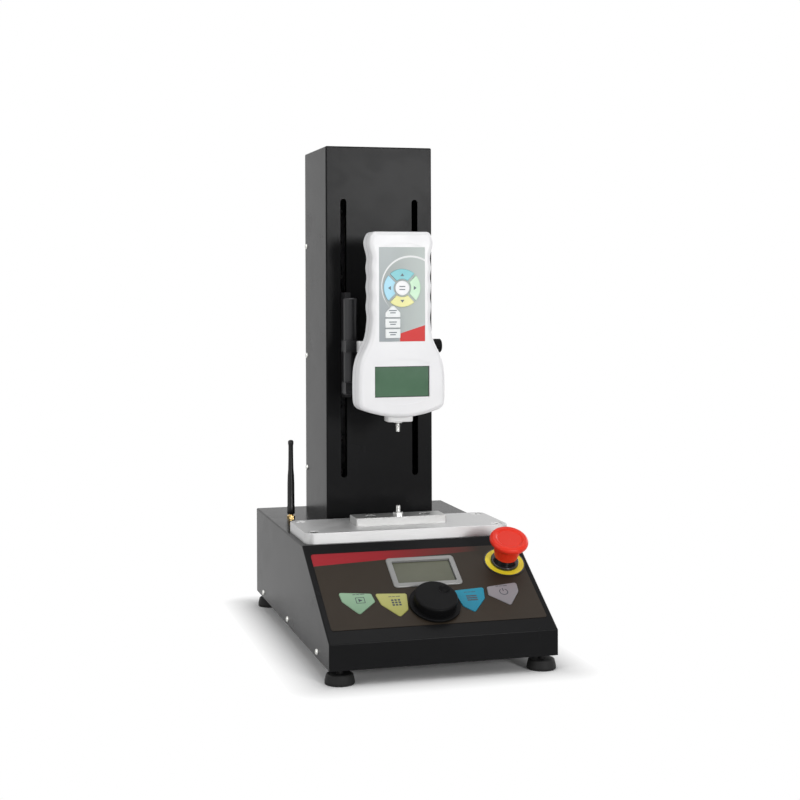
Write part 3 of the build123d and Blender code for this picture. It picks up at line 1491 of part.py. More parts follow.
# Load cell inside the gauge: a bending block on the white nose that comes out below
nose_bottom = gauge_bottom - nose_drop
cell_height = 42.0
with BuildPart() as load_cell:
    with BuildSketch(Plane.XY.offset(nose_bottom)):
        with Locations((0, gauge_split)):
            RectangleRounded(nose_width, nose_depth, nose_corner)
    extrude(amount=nose_drop + gauge_wall + 1.0)
    chamfer(load_cell.faces().sort_by(Axis.Z)[0].edges(), 0.8)
    cell_bottom = gauge_bottom + gauge_wall + 1.0
    with BuildSketch(Plane.XY.offset(cell_bottom)):
        with Locations((0, gauge_axis_y + 4.0)):
            Rectangle(0.6 * nose_width, 10.0)
    extrude(amount=cell_height)
    with BuildSketch(Plane.XZ.offset(-gauge_axis_y - 9.0)):
        with Locations((0, cell_bottom + cell_height / 2)):
            with GridLocations(0, 0.36 * cell_height, 1, 2):
                Circle(4.0)
            Rectangle(2.0, 0.36 * cell_height)
    extrude(amount=20.0, mode=Mode.SUBTRACT)
load_cell.part.label = "load_cell"
export_step(load_cell.part, "parts/load_cell.step")

# Gauge shaft: collar and the threaded end that takes grips
with BuildPart() as gauge_shaft:
    with BuildSketch(Plane.XY.offset(nose_bottom)):
        with Locations((0, gauge_axis_y)):
            Circle(collar_radius)
    extrude(amount=-collar_height)
    chamfer(gauge_shaft.faces().sort_by(Axis.Z)[0].edges(), 1.6)
    with BuildSketch(Plane.XY.offset(nose_bottom - collar_height)):
        with Locations((0, gauge_axis_y)):
            Circle(shaft_radius)
    extrude(amount=-shaft_length)
    chamfer(gauge_shaft.faces().sort_by(Axis.Z)[0].edges(), 0.5)
gauge_shaft.part.label = "gauge_shaft"
export_step(gauge_shaft.part, "parts/gauge_shaft.step")

# Four levelling feet: a tapered rubber puck on a threaded stem through the tray
foot_names = ("foot_front_left", "foot_rear_left", "foot_front_right", "foot_rear_right")
for name, (x, y) in zip(foot_names, foot_spots):
    with BuildPart() as foot:
        with BuildSketch(Plane.XZ.offset(-y)):
            with BuildLine():
                Polyline(
                    (x, 0),
                    (x + foot_radius - 0.8, 0),
                    (x + foot_radius, 0.8),
                    (x + foot_radius, 3.0),
                    (x + foot_radius - foot_taper, foot_height - foot_gap - 0.8),
                    (x + foot_radius - foot_taper - 0.8, foot_height - foot_gap),
                    (x + foot_stem_radius, foot_height - foot_gap),
                    (x + foot_stem_radius, foot_height + foot_stem_reach),
                    (x, foot_height + foot_stem_reach),
                    close=True,
                )
            make_face()
        revolve(axis=Axis((x, y, 0), (0, 0, 1)))
    foot.part.label = name
    export_step(foot.part, "parts/" + name + ".step")
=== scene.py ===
import math

import bmesh
import bpy
from mathutils import Matrix, Vector


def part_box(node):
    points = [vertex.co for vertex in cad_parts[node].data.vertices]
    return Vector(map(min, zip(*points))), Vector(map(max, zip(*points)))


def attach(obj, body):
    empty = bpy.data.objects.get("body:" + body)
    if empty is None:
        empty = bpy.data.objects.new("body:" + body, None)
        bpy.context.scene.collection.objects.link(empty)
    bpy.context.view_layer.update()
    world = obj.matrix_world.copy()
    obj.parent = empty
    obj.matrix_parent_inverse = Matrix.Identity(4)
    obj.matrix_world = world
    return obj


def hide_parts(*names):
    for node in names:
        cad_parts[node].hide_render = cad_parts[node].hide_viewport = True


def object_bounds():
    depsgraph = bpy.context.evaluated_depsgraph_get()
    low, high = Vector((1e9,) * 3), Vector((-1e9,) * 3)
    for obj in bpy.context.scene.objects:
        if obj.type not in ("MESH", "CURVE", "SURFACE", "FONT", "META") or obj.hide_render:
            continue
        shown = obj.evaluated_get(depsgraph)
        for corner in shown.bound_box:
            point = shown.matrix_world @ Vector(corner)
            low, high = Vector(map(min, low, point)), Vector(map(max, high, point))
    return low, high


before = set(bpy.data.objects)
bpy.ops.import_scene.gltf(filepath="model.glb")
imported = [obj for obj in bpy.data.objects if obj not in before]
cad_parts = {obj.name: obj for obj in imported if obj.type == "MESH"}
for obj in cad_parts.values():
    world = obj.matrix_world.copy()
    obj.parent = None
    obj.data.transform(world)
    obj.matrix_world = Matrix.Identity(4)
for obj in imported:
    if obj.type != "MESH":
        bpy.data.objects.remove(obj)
cad_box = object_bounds()

# Base cover and tray: folded sheet steel under a black powder coat with a fine orange-peel
# grain. The cover is screwed down over the tray's upturned lips.


def add_node(tree, kind, inputs=(), **settings):
    """One shader node with its settings, and its inputs linked or set by name or number."""
    node = tree.nodes.new(kind)
    for key, value in settings.items():
        setattr(node, key, value)
    for key, value in dict(inputs).items():
        if isinstance(value, bpy.types.NodeSocket):
            tree.links.new(value, node.inputs[key])
        else:
            node.inputs[key].default_value = value
    return node


def sums(tree, operation, a, b=0.0):
    """The output of one Math node."""
    return add_node(tree, "ShaderNodeMath", {0: a, 1: b}, operation=operation).outputs[0]


def blend_colours(tree, mask, first, second):
    """first where the mask is 0, second where it is 1."""
    node = add_node(
        tree, "ShaderNodeMix", {0: mask, 6: first, 7: second}, data_type="RGBA", clamp_factor=True
    )
    return node.outputs[2]


def spread(tree, value, low, high, to_low, to_high):
    """A value stretched from one range to another, held at the ends."""
    node = add_node(
        tree, "ShaderNodeMapRange", {0: value, 1: low, 2: high, 3: to_low, 4: to_high}, clamp=True
    )
    return node.outputs[0]


def start_group(name, inputs, outputs):
    """A node group with float or vector inputs and float outputs."""
    group = bpy.data.node_groups.new(name, "ShaderNodeTree")
    for label, default in inputs:
        kind = "NodeSocketVector" if isinstance(default, tuple) else "NodeSocketFloat"
        socket = group.interface.new_socket(label, in_out="INPUT", socket_type=kind)
        socket.default_value = default
    for label in outputs:
        group.interface.new_socket(label, in_out="OUTPUT", socket_type="NodeSocketFloat")
    return group, group.nodes.new("NodeGroupInput"), group.nodes.new("NodeGroupOutput")


def object_place(tree):
    """Place on the object in metres, the same at every pose."""
    return add_node(tree, "ShaderNodeTexCoord").outputs["Object"]


grain_group, entry, leave = start_group(
    "fine_grain", [("Scale", 900.0), ("Patch Scale", 14.0)], ["Height", "Patches"]
)
place = object_place(grain_group)
fine = add_node(
    grain_group,
    "ShaderNodeTexNoise",
    {"Vector": place, "Scale": entry.outputs["Scale"], "Detail": 2.0},
)
broad = add_node(
    grain_group,
    "ShaderNodeTexNoise",
    {"Vector": place, "Scale": entry.outputs["Patch Scale"], "Detail": 4.0, "Roughness": 0.6},
)
grain_group.links.new(fine.outputs["Fac"], leave.inputs["Height"])
grain_group.links.new(
    spread(grain_group, broad.outputs["Fac"], 0.32, 0.68, 0.0, 1.0), leave.inputs["Patches"]
)

streak_group, entry, leave = start_group(
    "brushed_streaks", [("Stretch", (1.0, 60.0, 60.0)), ("Scale", 60.0)], ["Height", "Streaks"]
)
along = add_node(
    streak_group,
    "ShaderNodeVectorMath",
    {0: object_place(streak_group), 1: entry.outputs["Stretch"]},
    operation="MULTIPLY",
)
lines = add_node(
    streak_group,
    "ShaderNodeTexNoise",
    {"Vector": along.outputs[0], "Scale": entry.outputs["Scale"], "Detail": 6.0, "Roughness": 0.7},
)
streak_group.links.new(lines.outputs["Fac"], leave.inputs["Height"])
streak_group.links.new(
    spread(streak_group, lines.outputs["Fac"], 0.35, 0.65, 0.0, 1.0), leave.inputs["Streaks"]
)

smear_group, entry, leave = start_group("handling_smears", [("Scale", 26.0)], ["Smears"])
cloud = add_node(
    smear_group,
    "ShaderNodeTexNoise",
    {
        "Vector": object_place(smear_group),
        "Scale": entry.outputs["Scale"],
        "Detail": 5.0,
        "Distortion": 1.2,
    },
)
smear_group.links.new(
    spread(smear_group, cloud.outputs["Fac"], 0.45, 0.75, 0.0, 1.0), leave.inputs["Smears"]
)


def use_group(tree, group, **values):
    """One of the shared effects placed in a material."""
    node = tree.nodes.new("ShaderNodeGroup")
    node.node_tree = group
    for key, value in values.items():
        node.inputs[key.replace("_", " ").title()].default_value = value
    return node.outputs


def start_finish(name, **sockets):
    """A new material: its node tree and its one shader, with plain socket values set."""
    material = bpy.data.materials.new(name)
    material.use_nodes = True
    tree = material.node_tree
    shader = tree.nodes["Principled BSDF"]
    for key, value in sockets.items():
        shader.inputs[key.replace("_", " ").title().replace("Ior", "IOR")].default_value = value
    return material, tree, shader


def bump(tree, shader, height, strength, distance):
    """A bump from a height into the shader's normal."""
    node = add_node(
        tree, "ShaderNodeBump", {"Strength": strength, "Distance": distance, "Height": height}
    )
    tree.links.new(node.outputs[0], shader.inputs["Normal"])


def vary_gloss(tree, shader, mask, low, high):
    """Roughness that runs from low to high with a mask."""
    tree.links.new(spread(tree, mask, 0.0, 1.0, low, high), shader.inputs["Roughness"])


def grained_finish(name, dark, light, rough, grain=900.0, depth=0.00012, strength=0.3, **sockets):
    """Coated or moulded surface: fine grain, broad patches of tone, smears in the gloss."""
    material, tree, shader = start_finish(name, **sockets)
    grain_out = use_group(tree, grain_group, scale=grain)
    smear_out = use_group(tree, smear_group)
    tone = blend_colours(tree, grain_out["Patches"], (*dark, 1.0), (*light, 1.0))
    tree.links.new(tone, shader.inputs["Base Color"])
    vary_gloss(tree, shader, smear_out["Smears"], *rough)
    bump(tree, shader, grain_out["Height"], strength, depth)
    return material


def dress(material, *nodes):
    """Gives CAD nodes their finish."""
    for name in nodes:
        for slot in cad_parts[name].material_slots:
            slot.material = material


coat = grained_finish(
    "black_powder_coat",
    (0.0082, 0.0083, 0.0087),
    (0.0100, 0.0101, 0.0106),
    (0.25, 0.28),
    grain=1400.0,
    specular_ior_level=0.052,
)
dress(coat, "base_cover", "base_tray", "column_cover", "column_spine")

# Housing screws: zinc-plated domed machine screws with a cross recess, three on each side of
# the base and of the column. They hold the covers to the tray and to the spine.
zinc = grained_finish(
    "bright_zinc", (0.60, 0.60, 0.57), (0.72, 0.72, 0.70), (0.22, 0.34), grain=2500.0, metallic=1.0
)
HEAD_RADIUS, HEAD_RISE = 0.0032, 0.0019
PLAIN_RISE = 0.002  # how far the plain CAD head stands out of the wall
HEAD_SKIRT = 0.0006  # how far the dome's rim runs into the wall
DOME_POWER = 2.6
SLOT_HALF, SLOT_REACH, SLOT_DEPTH = 0.17, 0.56, 0.55  # shares of the head's radius and rise


def new_piece(name, mesh_data, material, body):
    """A mesh made here, finished, and fixed to its CAD body."""
    verts, faces = mesh_data
    mesh = bpy.data.meshes.new(name)
    mesh.from_pydata(verts, [], faces)
    mesh.validate()
    build = bmesh.new()
    build.from_mesh(mesh)
    bmesh.ops.remove_doubles(build, verts=build.verts, dist=1e-7)
    bmesh.ops.recalc_face_normals(build, faces=build.faces)
    build.to_mesh(mesh)
    build.free()
    mesh.materials.append(material)
    piece = bpy.data.objects.new(name, mesh)
    bpy.context.scene.collection.objects.link(piece)
    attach(piece, body)
    return piece


def smooth_piece(piece, angle=35.0):
    """Smooth shading, kept sharp where faces meet at more than the angle."""
    piece.data.polygons.foreach_set("use_smooth", [True] * len(piece.data.polygons))
    build = bmesh.new()
    build.from_mesh(piece.data)
    for edge in build.edges:
        edge.smooth = not (edge.is_manifold and edge.calc_face_angle(0.0) > math.radians(angle))
    build.to_mesh(piece.data)
    build.free()
    return piece


def join_meshes(parts):
    """Several (verts, faces) lists as one."""
    verts, faces = [], []
    for part_verts, part_faces in parts:
        first = len(verts)
        verts += part_verts
        faces += [[first + i for i in face] for face in part_faces]
    return verts, faces


def cross_head(centre, out):
    """A domed screw head whose face dips in a cross. out is the way that it faces."""
    rings, steps = 12, 48
    turn = out.to_track_quat("Z", "Y").to_matrix()
    verts, faces = [], []
    for ring in range(rings + 1):
        share = ring / rings
        for step in range(steps):
            angle = 2 * math.pi * step / steps
            x, y = HEAD_RADIUS * share * math.cos(angle), HEAD_RADIUS * share * math.sin(angle)
            lift = HEAD_RISE * math.sqrt(max(0.0, 1 - share**DOME_POWER))
            near, far = sorted((abs(x), abs(y)))
            if near < SLOT_HALF * HEAD_RADIUS and far < SLOT_REACH * HEAD_RADIUS:
                lift -= SLOT_DEPTH * HEAD_RISE
            verts.append(centre + turn @ Vector((x, y, lift)))
    for ring in range(rings):
        for step in range(steps):
            after = (step + 1) % steps
            low, high = ring * steps, (ring + 1) * steps
            faces.append([low + step, low + after, high + after, high + step])
    base = len(verts)
    for step in range(steps):
        verts.append(verts[rings * steps + step] - out * HEAD_SKIRT)
    for step in range(steps):
        after = (step + 1) % steps
        faces.append([rings * steps + step, rings * steps + after, base + after, base + step])
    faces.append([base + step for step in range(steps)])
    return verts, faces


def separate_solids(node):
    """The low and high corner of each loose solid in a CAD node, in order of place."""
    build = bmesh.new()
    build.from_mesh(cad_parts[node].data)
    bmesh.ops.remove_doubles(build, verts=build.verts, dist=1e-6)
    left, corners = set(build.verts), []
    while left:
        found, queue = [], [left.pop()]
        while queue:
            vert = queue.pop()
            found.append(vert.co.copy())
            for edge in vert.link_edges:
                other = edge.other_vert(vert)
                if other in left:
                    left.remove(other)
                    queue.append(other)
        corners.append(
            [Vector(pick(co[i] for co in found) for i in range(3)) for pick in (min, max)]
        )
    build.free()
    return sorted(corners, key=lambda pair: tuple(pair[0]))


heads = []
for low, high in separate_solids("housing_screws"):
    middle = (low + high) / 2
    side = math.copysign(1.0, middle.x)
    wall = max(abs(low.x), abs(high.x)) - PLAIN_RISE
    heads.append(cross_head(Vector((side * wall, middle.y, middle.z)), Vector((side, 0, 0))))
screw_heads = new_piece("screw_heads", join_meshes(heads), zinc, "frame")
smooth_piece(screw_heads, 50.0)
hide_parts("housing_screws")

# Load frame, motor, belt, power supply and control board: working parts inside the base,
# primed, blackened or bare as such parts come.
primer = grained_finish(
    "grey_primer", (0.16, 0.165, 0.17), (0.20, 0.205, 0.21), (0.55, 0.68), grain=700.0
)
dress(primer, "load_frame")
motor_paint = grained_finish(
    "motor_black", (0.018, 0.018, 0.020), (0.026, 0.026, 0.028), (0.40, 0.52), grain=1000.0
)
dress(motor_paint, "drive_motor")
belt_finish = grained_finish(
    "belt_rubber", (0.012, 0.012, 0.012), (0.020, 0.020, 0.020), (0.70, 0.82), grain=1800.0
)
dress(belt_finish, "drive_belt")
supply_finish = grained_finish(
    "supply_case", (0.50, 0.51, 0.51), (0.60, 0.61, 0.61), (0.32, 0.44), grain=1200.0, metallic=0.9
)
dress(supply_finish, "power_supply")
board_finish = grained_finish(
    "board_green", (0.012, 0.085, 0.035), (0.020, 0.120, 0.050), (0.30, 0.42), grain=600.0
)
dress(board_finish, "control_board")

# Work plate and fixture bar: milled aluminium, satin anodised, with fine lines across their
# width. Countersunk screws hold the plate to the load frame and the bar to the plate.


def brushed_finish(name, dark, light, rough, stretch, depth=0.00003, strength=0.25, **sockets):
    """Bare or anodised metal with fine lines along one direction."""
    material, tree, shader = start_finish(name, metallic=1.0, **sockets)
    streak_out = use_group(tree, streak_group, stretch=stretch)
    smear_out = use_group(tree, smear_group)
    tone = blend_colours(tree, streak_out["Streaks"], (*dark, 1.0), (*light, 1.0))
    tree.links.new(tone, shader.inputs["Base Color"])
    smeared = sums(tree, "MULTIPLY", smear_out["Smears"], rough[1] - rough[0])
    tree.links.new(sums(tree, "ADD", smeared, rough[0]), shader.inputs["Roughness"])
    bump(tree, shader, streak_out["Height"], strength, depth)
    return material


plate_finish = brushed_finish(
    "anodised_plate", (0.47, 0.47, 0.47), (0.54, 0.54, 0.54), (0.48, 0.56), (1.0, 40.0, 40.0)
)
dress(plate_finish, "work_plate")
bar_finish = brushed_finish(
    "anodised_bar", (0.35, 0.35, 0.345), (0.41, 0.41, 0.405), (0.40, 0.48), (1.0, 50.0, 50.0)
)
dress(bar_finish, "fixture_bar")
stainless = brushed_finish(
    "stainless", (0.55, 0.55, 0.54), (0.66, 0.66, 0.65), (0.20, 0.32), (40.0, 40.0, 1.0)
)
dress(stainless, "plate_screws")

# Lower stud: turned stainless end with an M5 thread, screwed into the bar. Its hex collar
# seats on the bar's top.
THREAD_RADIUS, THREAD_PITCH, THREAD_DEPTH = 0.0025, 0.0008, 0.00045
END_CHAMFER = 0.0004


def threaded_rod(x, y, low, high):
    """A closed rod with a helical thread cut in it."""
    steps, per_pitch = 24, 6
    rings = max(2, round((high - low) / THREAD_PITCH * per_pitch))
    verts, faces = [], []
    for ring in range(rings + 1):
        z = low + (high - low) * ring / rings
        end = min(z - low, high - z)
        for step in range(steps):
            turn = step / steps
            phase = (z / THREAD_PITCH - turn) % 1.0
            cut = THREAD_DEPTH * (1 - abs(2 * phase - 1))
            r = THREAD_RADIUS - cut - max(0.0, END_CHAMFER - end)
            angle = 2 * math.pi * turn
            verts.append(Vector((x + r * math.cos(angle), y + r * math.sin(angle), z)))
    for ring in range(rings):
        for step in range(steps):
            after = (step + 1) % steps
            low_ring, high_ring = ring * steps, (ring + 1) * steps
            faces.append([low_ring + step, low_ring + after, high_ring + after, high_ring + step])
    faces.append(list(range(steps))[::-1])
    faces.append([rings * steps + step for step in range(steps)])
    return verts, faces


def turned(x, y, profile, steps=48):
    """A closed shape turned about the vertical through x, y from (radius, height) pairs."""
    verts, faces = [], []
    for radius, z in profile:
        for step in range(steps):
            angle = 2 * math.pi * step / steps
            verts.append(Vector((x + radius * math.cos(angle), y + radius * math.sin(angle), z)))
    for ring in range(len(profile) - 1):
        for step in range(steps):
            after = (step + 1) % steps
            low_ring, high_ring = ring * steps, (ring + 1) * steps
            faces.append([low_ring + step, low_ring + after, high_ring + after, high_ring + step])
    faces.append(list(range(steps))[::-1])
    faces.append([(len(profile) - 1) * steps + step for step in range(steps)])
    return verts, faces


stud_low, stud_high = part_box("lower_stud")
bar_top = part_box("fixture_bar")[1].z
axis_x, axis_y = 0.0, (stud_low.y + stud_high.y) / 2
HEX_RADIUS, HEX_HEIGHT = 0.00475 / math.cos(math.pi / 6), 0.0032  # 9.5 mm across the flats
hex_shape = [
    (HEX_RADIUS * 0.92, bar_top),
    (HEX_RADIUS, bar_top + 0.0003),
    (HEX_RADIUS, bar_top + HEX_HEIGHT - 0.0004),
    (HEX_RADIUS * 0.88, bar_top + HEX_HEIGHT),
]
stud_rod = threaded_rod(axis_x, axis_y, stud_low.z, stud_high.z)
stud_mesh = join_meshes([stud_rod, turned(axis_x, axis_y, hex_shape, 6)])
stud_piece = new_piece("threaded_stud", stud_mesh, stainless, "frame")
smooth_piece(stud_piece, 28.0)
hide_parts("lower_stud")

# Panel overlay: printed polyester film glued to the sloping panel, near-black brown, with a
# red band along its upper edge that narrows and fades to the right.
cover_low, cover_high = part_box("base_cover")
film_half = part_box("control_overlay")[1].x
PANEL_RISE, PANEL_RUN = 0.0726, 0.1233  # height and depth of the slope between its two bends
slope = math.atan2(PANEL_RISE, PANEL_RUN)
panel_top = Vector((0.0, cover_low.y + PANEL_RUN, cover_high.z))
panel_down = Vector((0.0, -math.cos(slope), -math.sin(slope)))
panel_out = Vector((0.0, -math.sin(slope), math.cos(slope)))
BAND_END = 0.095
BAND_LOW_LEFT, BAND_LOW_RIGHT = 0.0330, 0.0205  # the band's lower edge, down the slope
FADE_START, FADE_END = -0.040, 0.070


def panel_place(x, down, lift):
    """A point on the panel: across, down the slope from its upper bend, and above the sheet."""
    return panel_top + Vector((x, 0, 0)) + panel_down * down + panel_out * lift


def panel_reach(tree):
    """Distance down the slope of the panel, for its printed film."""
    shifted = add_node(
        tree,
        "ShaderNodeVectorMath",
        {0: object_place(tree), 1: tuple(panel_top)},
        operation="SUBTRACT",
    )
    dot = add_node(
        tree,
        "ShaderNodeVectorMath",
        {0: shifted.outputs[0], 1: tuple(panel_down)},
        operation="DOT_PRODUCT",
    )
    return dot.outputs["Value"]


film, tree, shader = start_finish("panel_film", specular_ior_level=0.15)
split_place = add_node(tree, "ShaderNodeSeparateXYZ", {0: object_place(tree)})
across = split_place.outputs["X"]
down = panel_reach(tree)
band_low = spread(tree, across, -film_half, BAND_END, BAND_LOW_LEFT, BAND_LOW_RIGHT)
in_band = sums(tree, "LESS_THAN", down, band_low)
band = sums(tree, "MULTIPLY", in_band, spread(tree, across, FADE_START, FADE_END, 1.0, 0.0))
grain_out = use_group(tree, grain_group, scale=1600.0)
smear_out = use_group(tree, smear_group)
ground = blend_colours(
    tree, grain_out["Patches"], (0.025, 0.018, 0.012, 1.0), (0.029, 0.021, 0.014, 1.0)
)
red_share = spread(tree, across, -film_half, 0.0, 0.0, 1.0)
red = blend_colours(tree, red_share, (0.335, 0.018, 0.026, 1.0), (0.25, 0.012, 0.017, 1.0))
tree.links.new(blend_colours(tree, band, ground, red), shader.inputs["Base Color"])
vary_gloss(tree, shader, smear_out["Smears"], 0.46, 0.52)
bump(tree, shader, grain_out["Height"], 0.12, 0.00006)
dress(film, "control_overlay")

# Panel keys: moulded caps held in by a lip under the sheet, each printed in its own colour
# that darkens towards the lower point, with a row of dashes and a plain line symbol.
KEY_TOP = 0.0011
MARK_SINK, MARK_THICK = 0.00002, 0.00007
CAPTION_RISE = 0.0085
SHADE_TOP, SHADE_LOW = 0.078, 0.108  # where the keys' tone changes, down the slope
key_prints = {  # slot, upper and lower tone, the symbol's shift across and place down the slope
    "start_key": ("key_green", (0.27, 0.42, 0.28), (0.18, 0.31, 0.20), 0.0025, 0.0865),
    "menu_key": ("key_yellow", (0.44, 0.43, 0.15), (0.35, 0.345, 0.09), 0.0025, 0.0925),
    "list_key": ("key_blue", (0.012, 0.25, 0.37), (0.010, 0.20, 0.31), 0.0, 0.0925),
    "standby_key": ("key_lilac", (0.265, 0.250, 0.268), (0.205, 0.194, 0.210), 0.0, 0.0865),
}
ink = grained_finish(
    "key_ink", (0.020, 0.030, 0.045), (0.030, 0.040, 0.055), (0.45, 0.55), grain=1600.0
)


def slab(points):
    """A thin printed shape on a key's top from (across, down) corners."""
    count = len(points)
    lift = KEY_TOP - MARK_SINK
    verts = [panel_place(x, s, lift) for x, s in points]
    verts += [panel_place(x, s, lift + MARK_THICK) for x, s in points]
    faces = [list(range(count))[::-1], [count + i for i in range(count)]]
    faces += [[i, (i + 1) % count, count + (i + 1) % count, count + i] for i in range(count)]
    return verts, faces


def bar_mark(x0, s0, x1, s1):
    """A rectangular mark between two corners."""
    return slab([(x0, s0), (x1, s0), (x1, s1), (x0, s1)])


def ring_mark(x, s, outer, inner, start, sweep):
    """A part of a ring as short slabs."""
    pieces, steps = [], 20
    for i in range(steps):
        a, b = (math.radians(start + sweep * j / steps) for j in (i, i + 1))
        corners = ((inner, a), (outer, a), (outer, b), (inner, b))
        pieces.append(slab([(x + r * math.sin(t), s - r * math.cos(t)) for r, t in corners]))
    return pieces


def caption_marks(x, s):
    """A row of short dashes above the symbol."""
    dashes = ((-0.0062, -0.0030), (-0.0024, 0.0006), (0.0012, 0.0058))
    return [bar_mark(x + a, s - 0.0004, x + b, s + 0.0004) for a, b in dashes]


def start_marks(x, s):
    """An arrow head in a square frame."""
    wide, tall, line = 0.0046, 0.0042, 0.0007
    side = tall - line
    head = slab([(x - 0.0018, s - 0.0022), (x + 0.0024, s), (x - 0.0018, s + 0.0022)])
    return [
        bar_mark(x - wide, s - tall, x + wide, s - side),
        bar_mark(x - wide, s + side, x + wide, s + tall),
        bar_mark(x - wide, s - side, x - wide + line, s + side),
        bar_mark(x + wide - line, s - side, x + wide, s + side),
        head,
    ]


def menu_marks(x, s):
    """Nine small squares."""
    pitch, half = 0.0034, 0.0012
    middles = [(x + i * pitch, s + j * pitch) for i in (-1, 0, 1) for j in (-1, 0, 1)]
    return [bar_mark(a - half, b - half, a + half, b + half) for a, b in middles]


def list_marks(x, s):
    """Three long bars."""
    pitch, half_long, half = 0.0029, 0.0055, 0.0009
    rows = [s + j * pitch for j in (-1, 0, 1)]
    return [bar_mark(x - half_long, row - half, x + half_long, row + half) for row in rows]


def standby_marks(x, s):
    """An open ring with a bar in its gap."""
    bar = bar_mark(x - 0.00045, s - 0.0052, x + 0.00045, s - 0.0008)
    return ring_mark(x, s, 0.0046, 0.0037, 32.0, 296.0) + [bar]


symbols = {
    "start_key": start_marks,
    "menu_key": menu_marks,
    "list_key": list_marks,
    "standby_key": standby_marks,
}
for name, (slot_name, light, dark, shift, level) in key_prints.items():
    key_finish, tree, shader = start_finish(name + "_film", specular_ior_level=0.25)
    grain_out = use_group(tree, grain_group, scale=1600.0)
    shade = spread(tree, panel_reach(tree), SHADE_TOP, SHADE_LOW, 0.0, 1.0)
    tone = blend_colours(tree, shade, (*light, 1.0), (*dark, 1.0))
    tree.links.new(tone, shader.inputs["Base Color"])
    vary_gloss(tree, shader, grain_out["Patches"], 0.36, 0.46)
    bump(tree, shader, grain_out["Height"], 0.12, 0.00006)
    dress(key_finish, name)
    key_low, key_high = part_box(name)
    mark_x = (key_low.x + key_high.x) / 2 + shift
    marks = symbols[name](mark_x, level) + caption_marks(mark_x, level - CAPTION_RISE)
    new_piece(name + "_mark", join_meshes(marks), ink, name)

# Display of the panel: grey moulded bezel with a raised rim, set into the panel's cut-out,
# round a reflective olive liquid crystal glass.
bezel_finish = grained_finish(
    "bezel_grey", (0.23, 0.23, 0.225), (0.27, 0.27, 0.265), (0.34, 0.44), grain=1500.0
)
dress(bezel_finish, "display_bezel")
RIM = 0.0008


def glass_finish(name, colour, edge, low, high, upright):
    """Liquid crystal glass: pale field with a fine cell pattern and a darker rim.
    On the gauge, the rim is painted shade along the window's recessed edge.
    """
    material, tree, shader = start_finish(
        name, specular_ior_level=0.35, coat_weight=0.15, coat_roughness=0.06
    )
    split = add_node(tree, "ShaderNodeSeparateXYZ", {0: object_place(tree)})
    height = split.outputs["Z"] if upright else panel_reach(tree)
    grain_out = use_group(tree, grain_group, scale=2200.0, patch_scale=30.0)
    field = blend_colours(
        tree, grain_out["Patches"], (*colour, 1.0), (*[c * 1.12 for c in colour], 1.0)
    )
    near = []
    for place, a, b in zip((split.outputs["X"], height), low, high):
        off_middle = sums(tree, "ABSOLUTE", sums(tree, "SUBTRACT", place, (a + b) / 2))
        near.append(sums(tree, "GREATER_THAN", off_middle, (b - a) / 2 - RIM))
    # The darker rim: on the gauge, painted shade along the window's recessed edge.
    rim = sums(tree, "MAXIMUM", *near)
    tree.links.new(blend_colours(tree, rim, field, (*edge, 1.0)), shader.inputs["Base Color"])
    vary_gloss(tree, shader, grain_out["Patches"], 0.16, 0.24)
    bump(tree, shader, grain_out["Height"], 0.04, 0.00003)
    return material


bezel_low, bezel_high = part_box("display_bezel")
window_x = (bezel_low.x + bezel_high.x) / 2
WINDOW_HALF, WINDOW_TOP, WINDOW_LOW = 0.0305, 0.0331, 0.0660  # the last two down the slope
panel_glass = glass_finish(
    "panel_glass",
    (0.088, 0.092, 0.060),
    (0.045, 0.045, 0.036),
    (window_x - WINDOW_HALF, WINDOW_TOP),
    (window_x + WINDOW_HALF, WINDOW_LOW),
    False,
)
dress(panel_glass, "display_module")

# Jog knob: matt black rubberised plastic over a flat skirt, with a dimple for a fingertip,
# pushed on the encoder's shaft.
knob_finish = grained_finish(
    "knob_black",
    (0.0032, 0.0032, 0.0035),
    (0.0046, 0.0046, 0.0050),
    (0.44, 0.54),
    grain=1100.0,
    specular_ior_level=0.07,
)
dress(knob_finish, "jog_knob", "clamp_knob")

# Stop button: yellow legend ring with a black rim, glossy black collar held by a nut under
# the sheet, red mushroom head. The head turns a little to let the plunger out.
LEGEND_RIM = 0.0201
legend, tree, shader = start_finish("legend_yellow")
legend_low, legend_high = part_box("estop_legend")
legend_centre = (legend_low + legend_high) / 2
spoke = add_node(
    tree,
    "ShaderNodeVectorMath",
    {0: object_place(tree), 1: tuple(legend_centre)},
    operation="DISTANCE",
)
rim = sums(tree, "GREATER_THAN", spoke.outputs["Value"], LEGEND_RIM)
grain_out = use_group(tree, grain_group, scale=1500.0)
yellow = blend_colours(
    tree, grain_out["Patches"], (0.78, 0.64, 0.022, 1.0), (0.84, 0.70, 0.030, 1.0)
)
printed = blend_colours(tree, rim, yellow, (0.015, 0.015, 0.016, 1.0))
tree.links.new(printed, shader.inputs["Base Color"])
vary_gloss(tree, shader, grain_out["Patches"], 0.40, 0.50)
bump(tree, shader, grain_out["Height"], 0.12, 0.00006)
dress(legend, "estop_legend")
collar_finish = grained_finish(
    "gloss_black", (0.009, 0.009, 0.010), (0.013, 0.013, 0.014), (0.18, 0.28), strength=0.08
)
dress(collar_finish, "estop_collar", "estop_plunger")
head_finish = grained_finish(
    "stop_red",
    (0.74, 0.026, 0.010),
    (0.80, 0.034, 0.014),
    (0.34, 0.44),
    strength=0.12,
    specular_ior_level=0.25,
)
dress(head_finish, "estop_head")

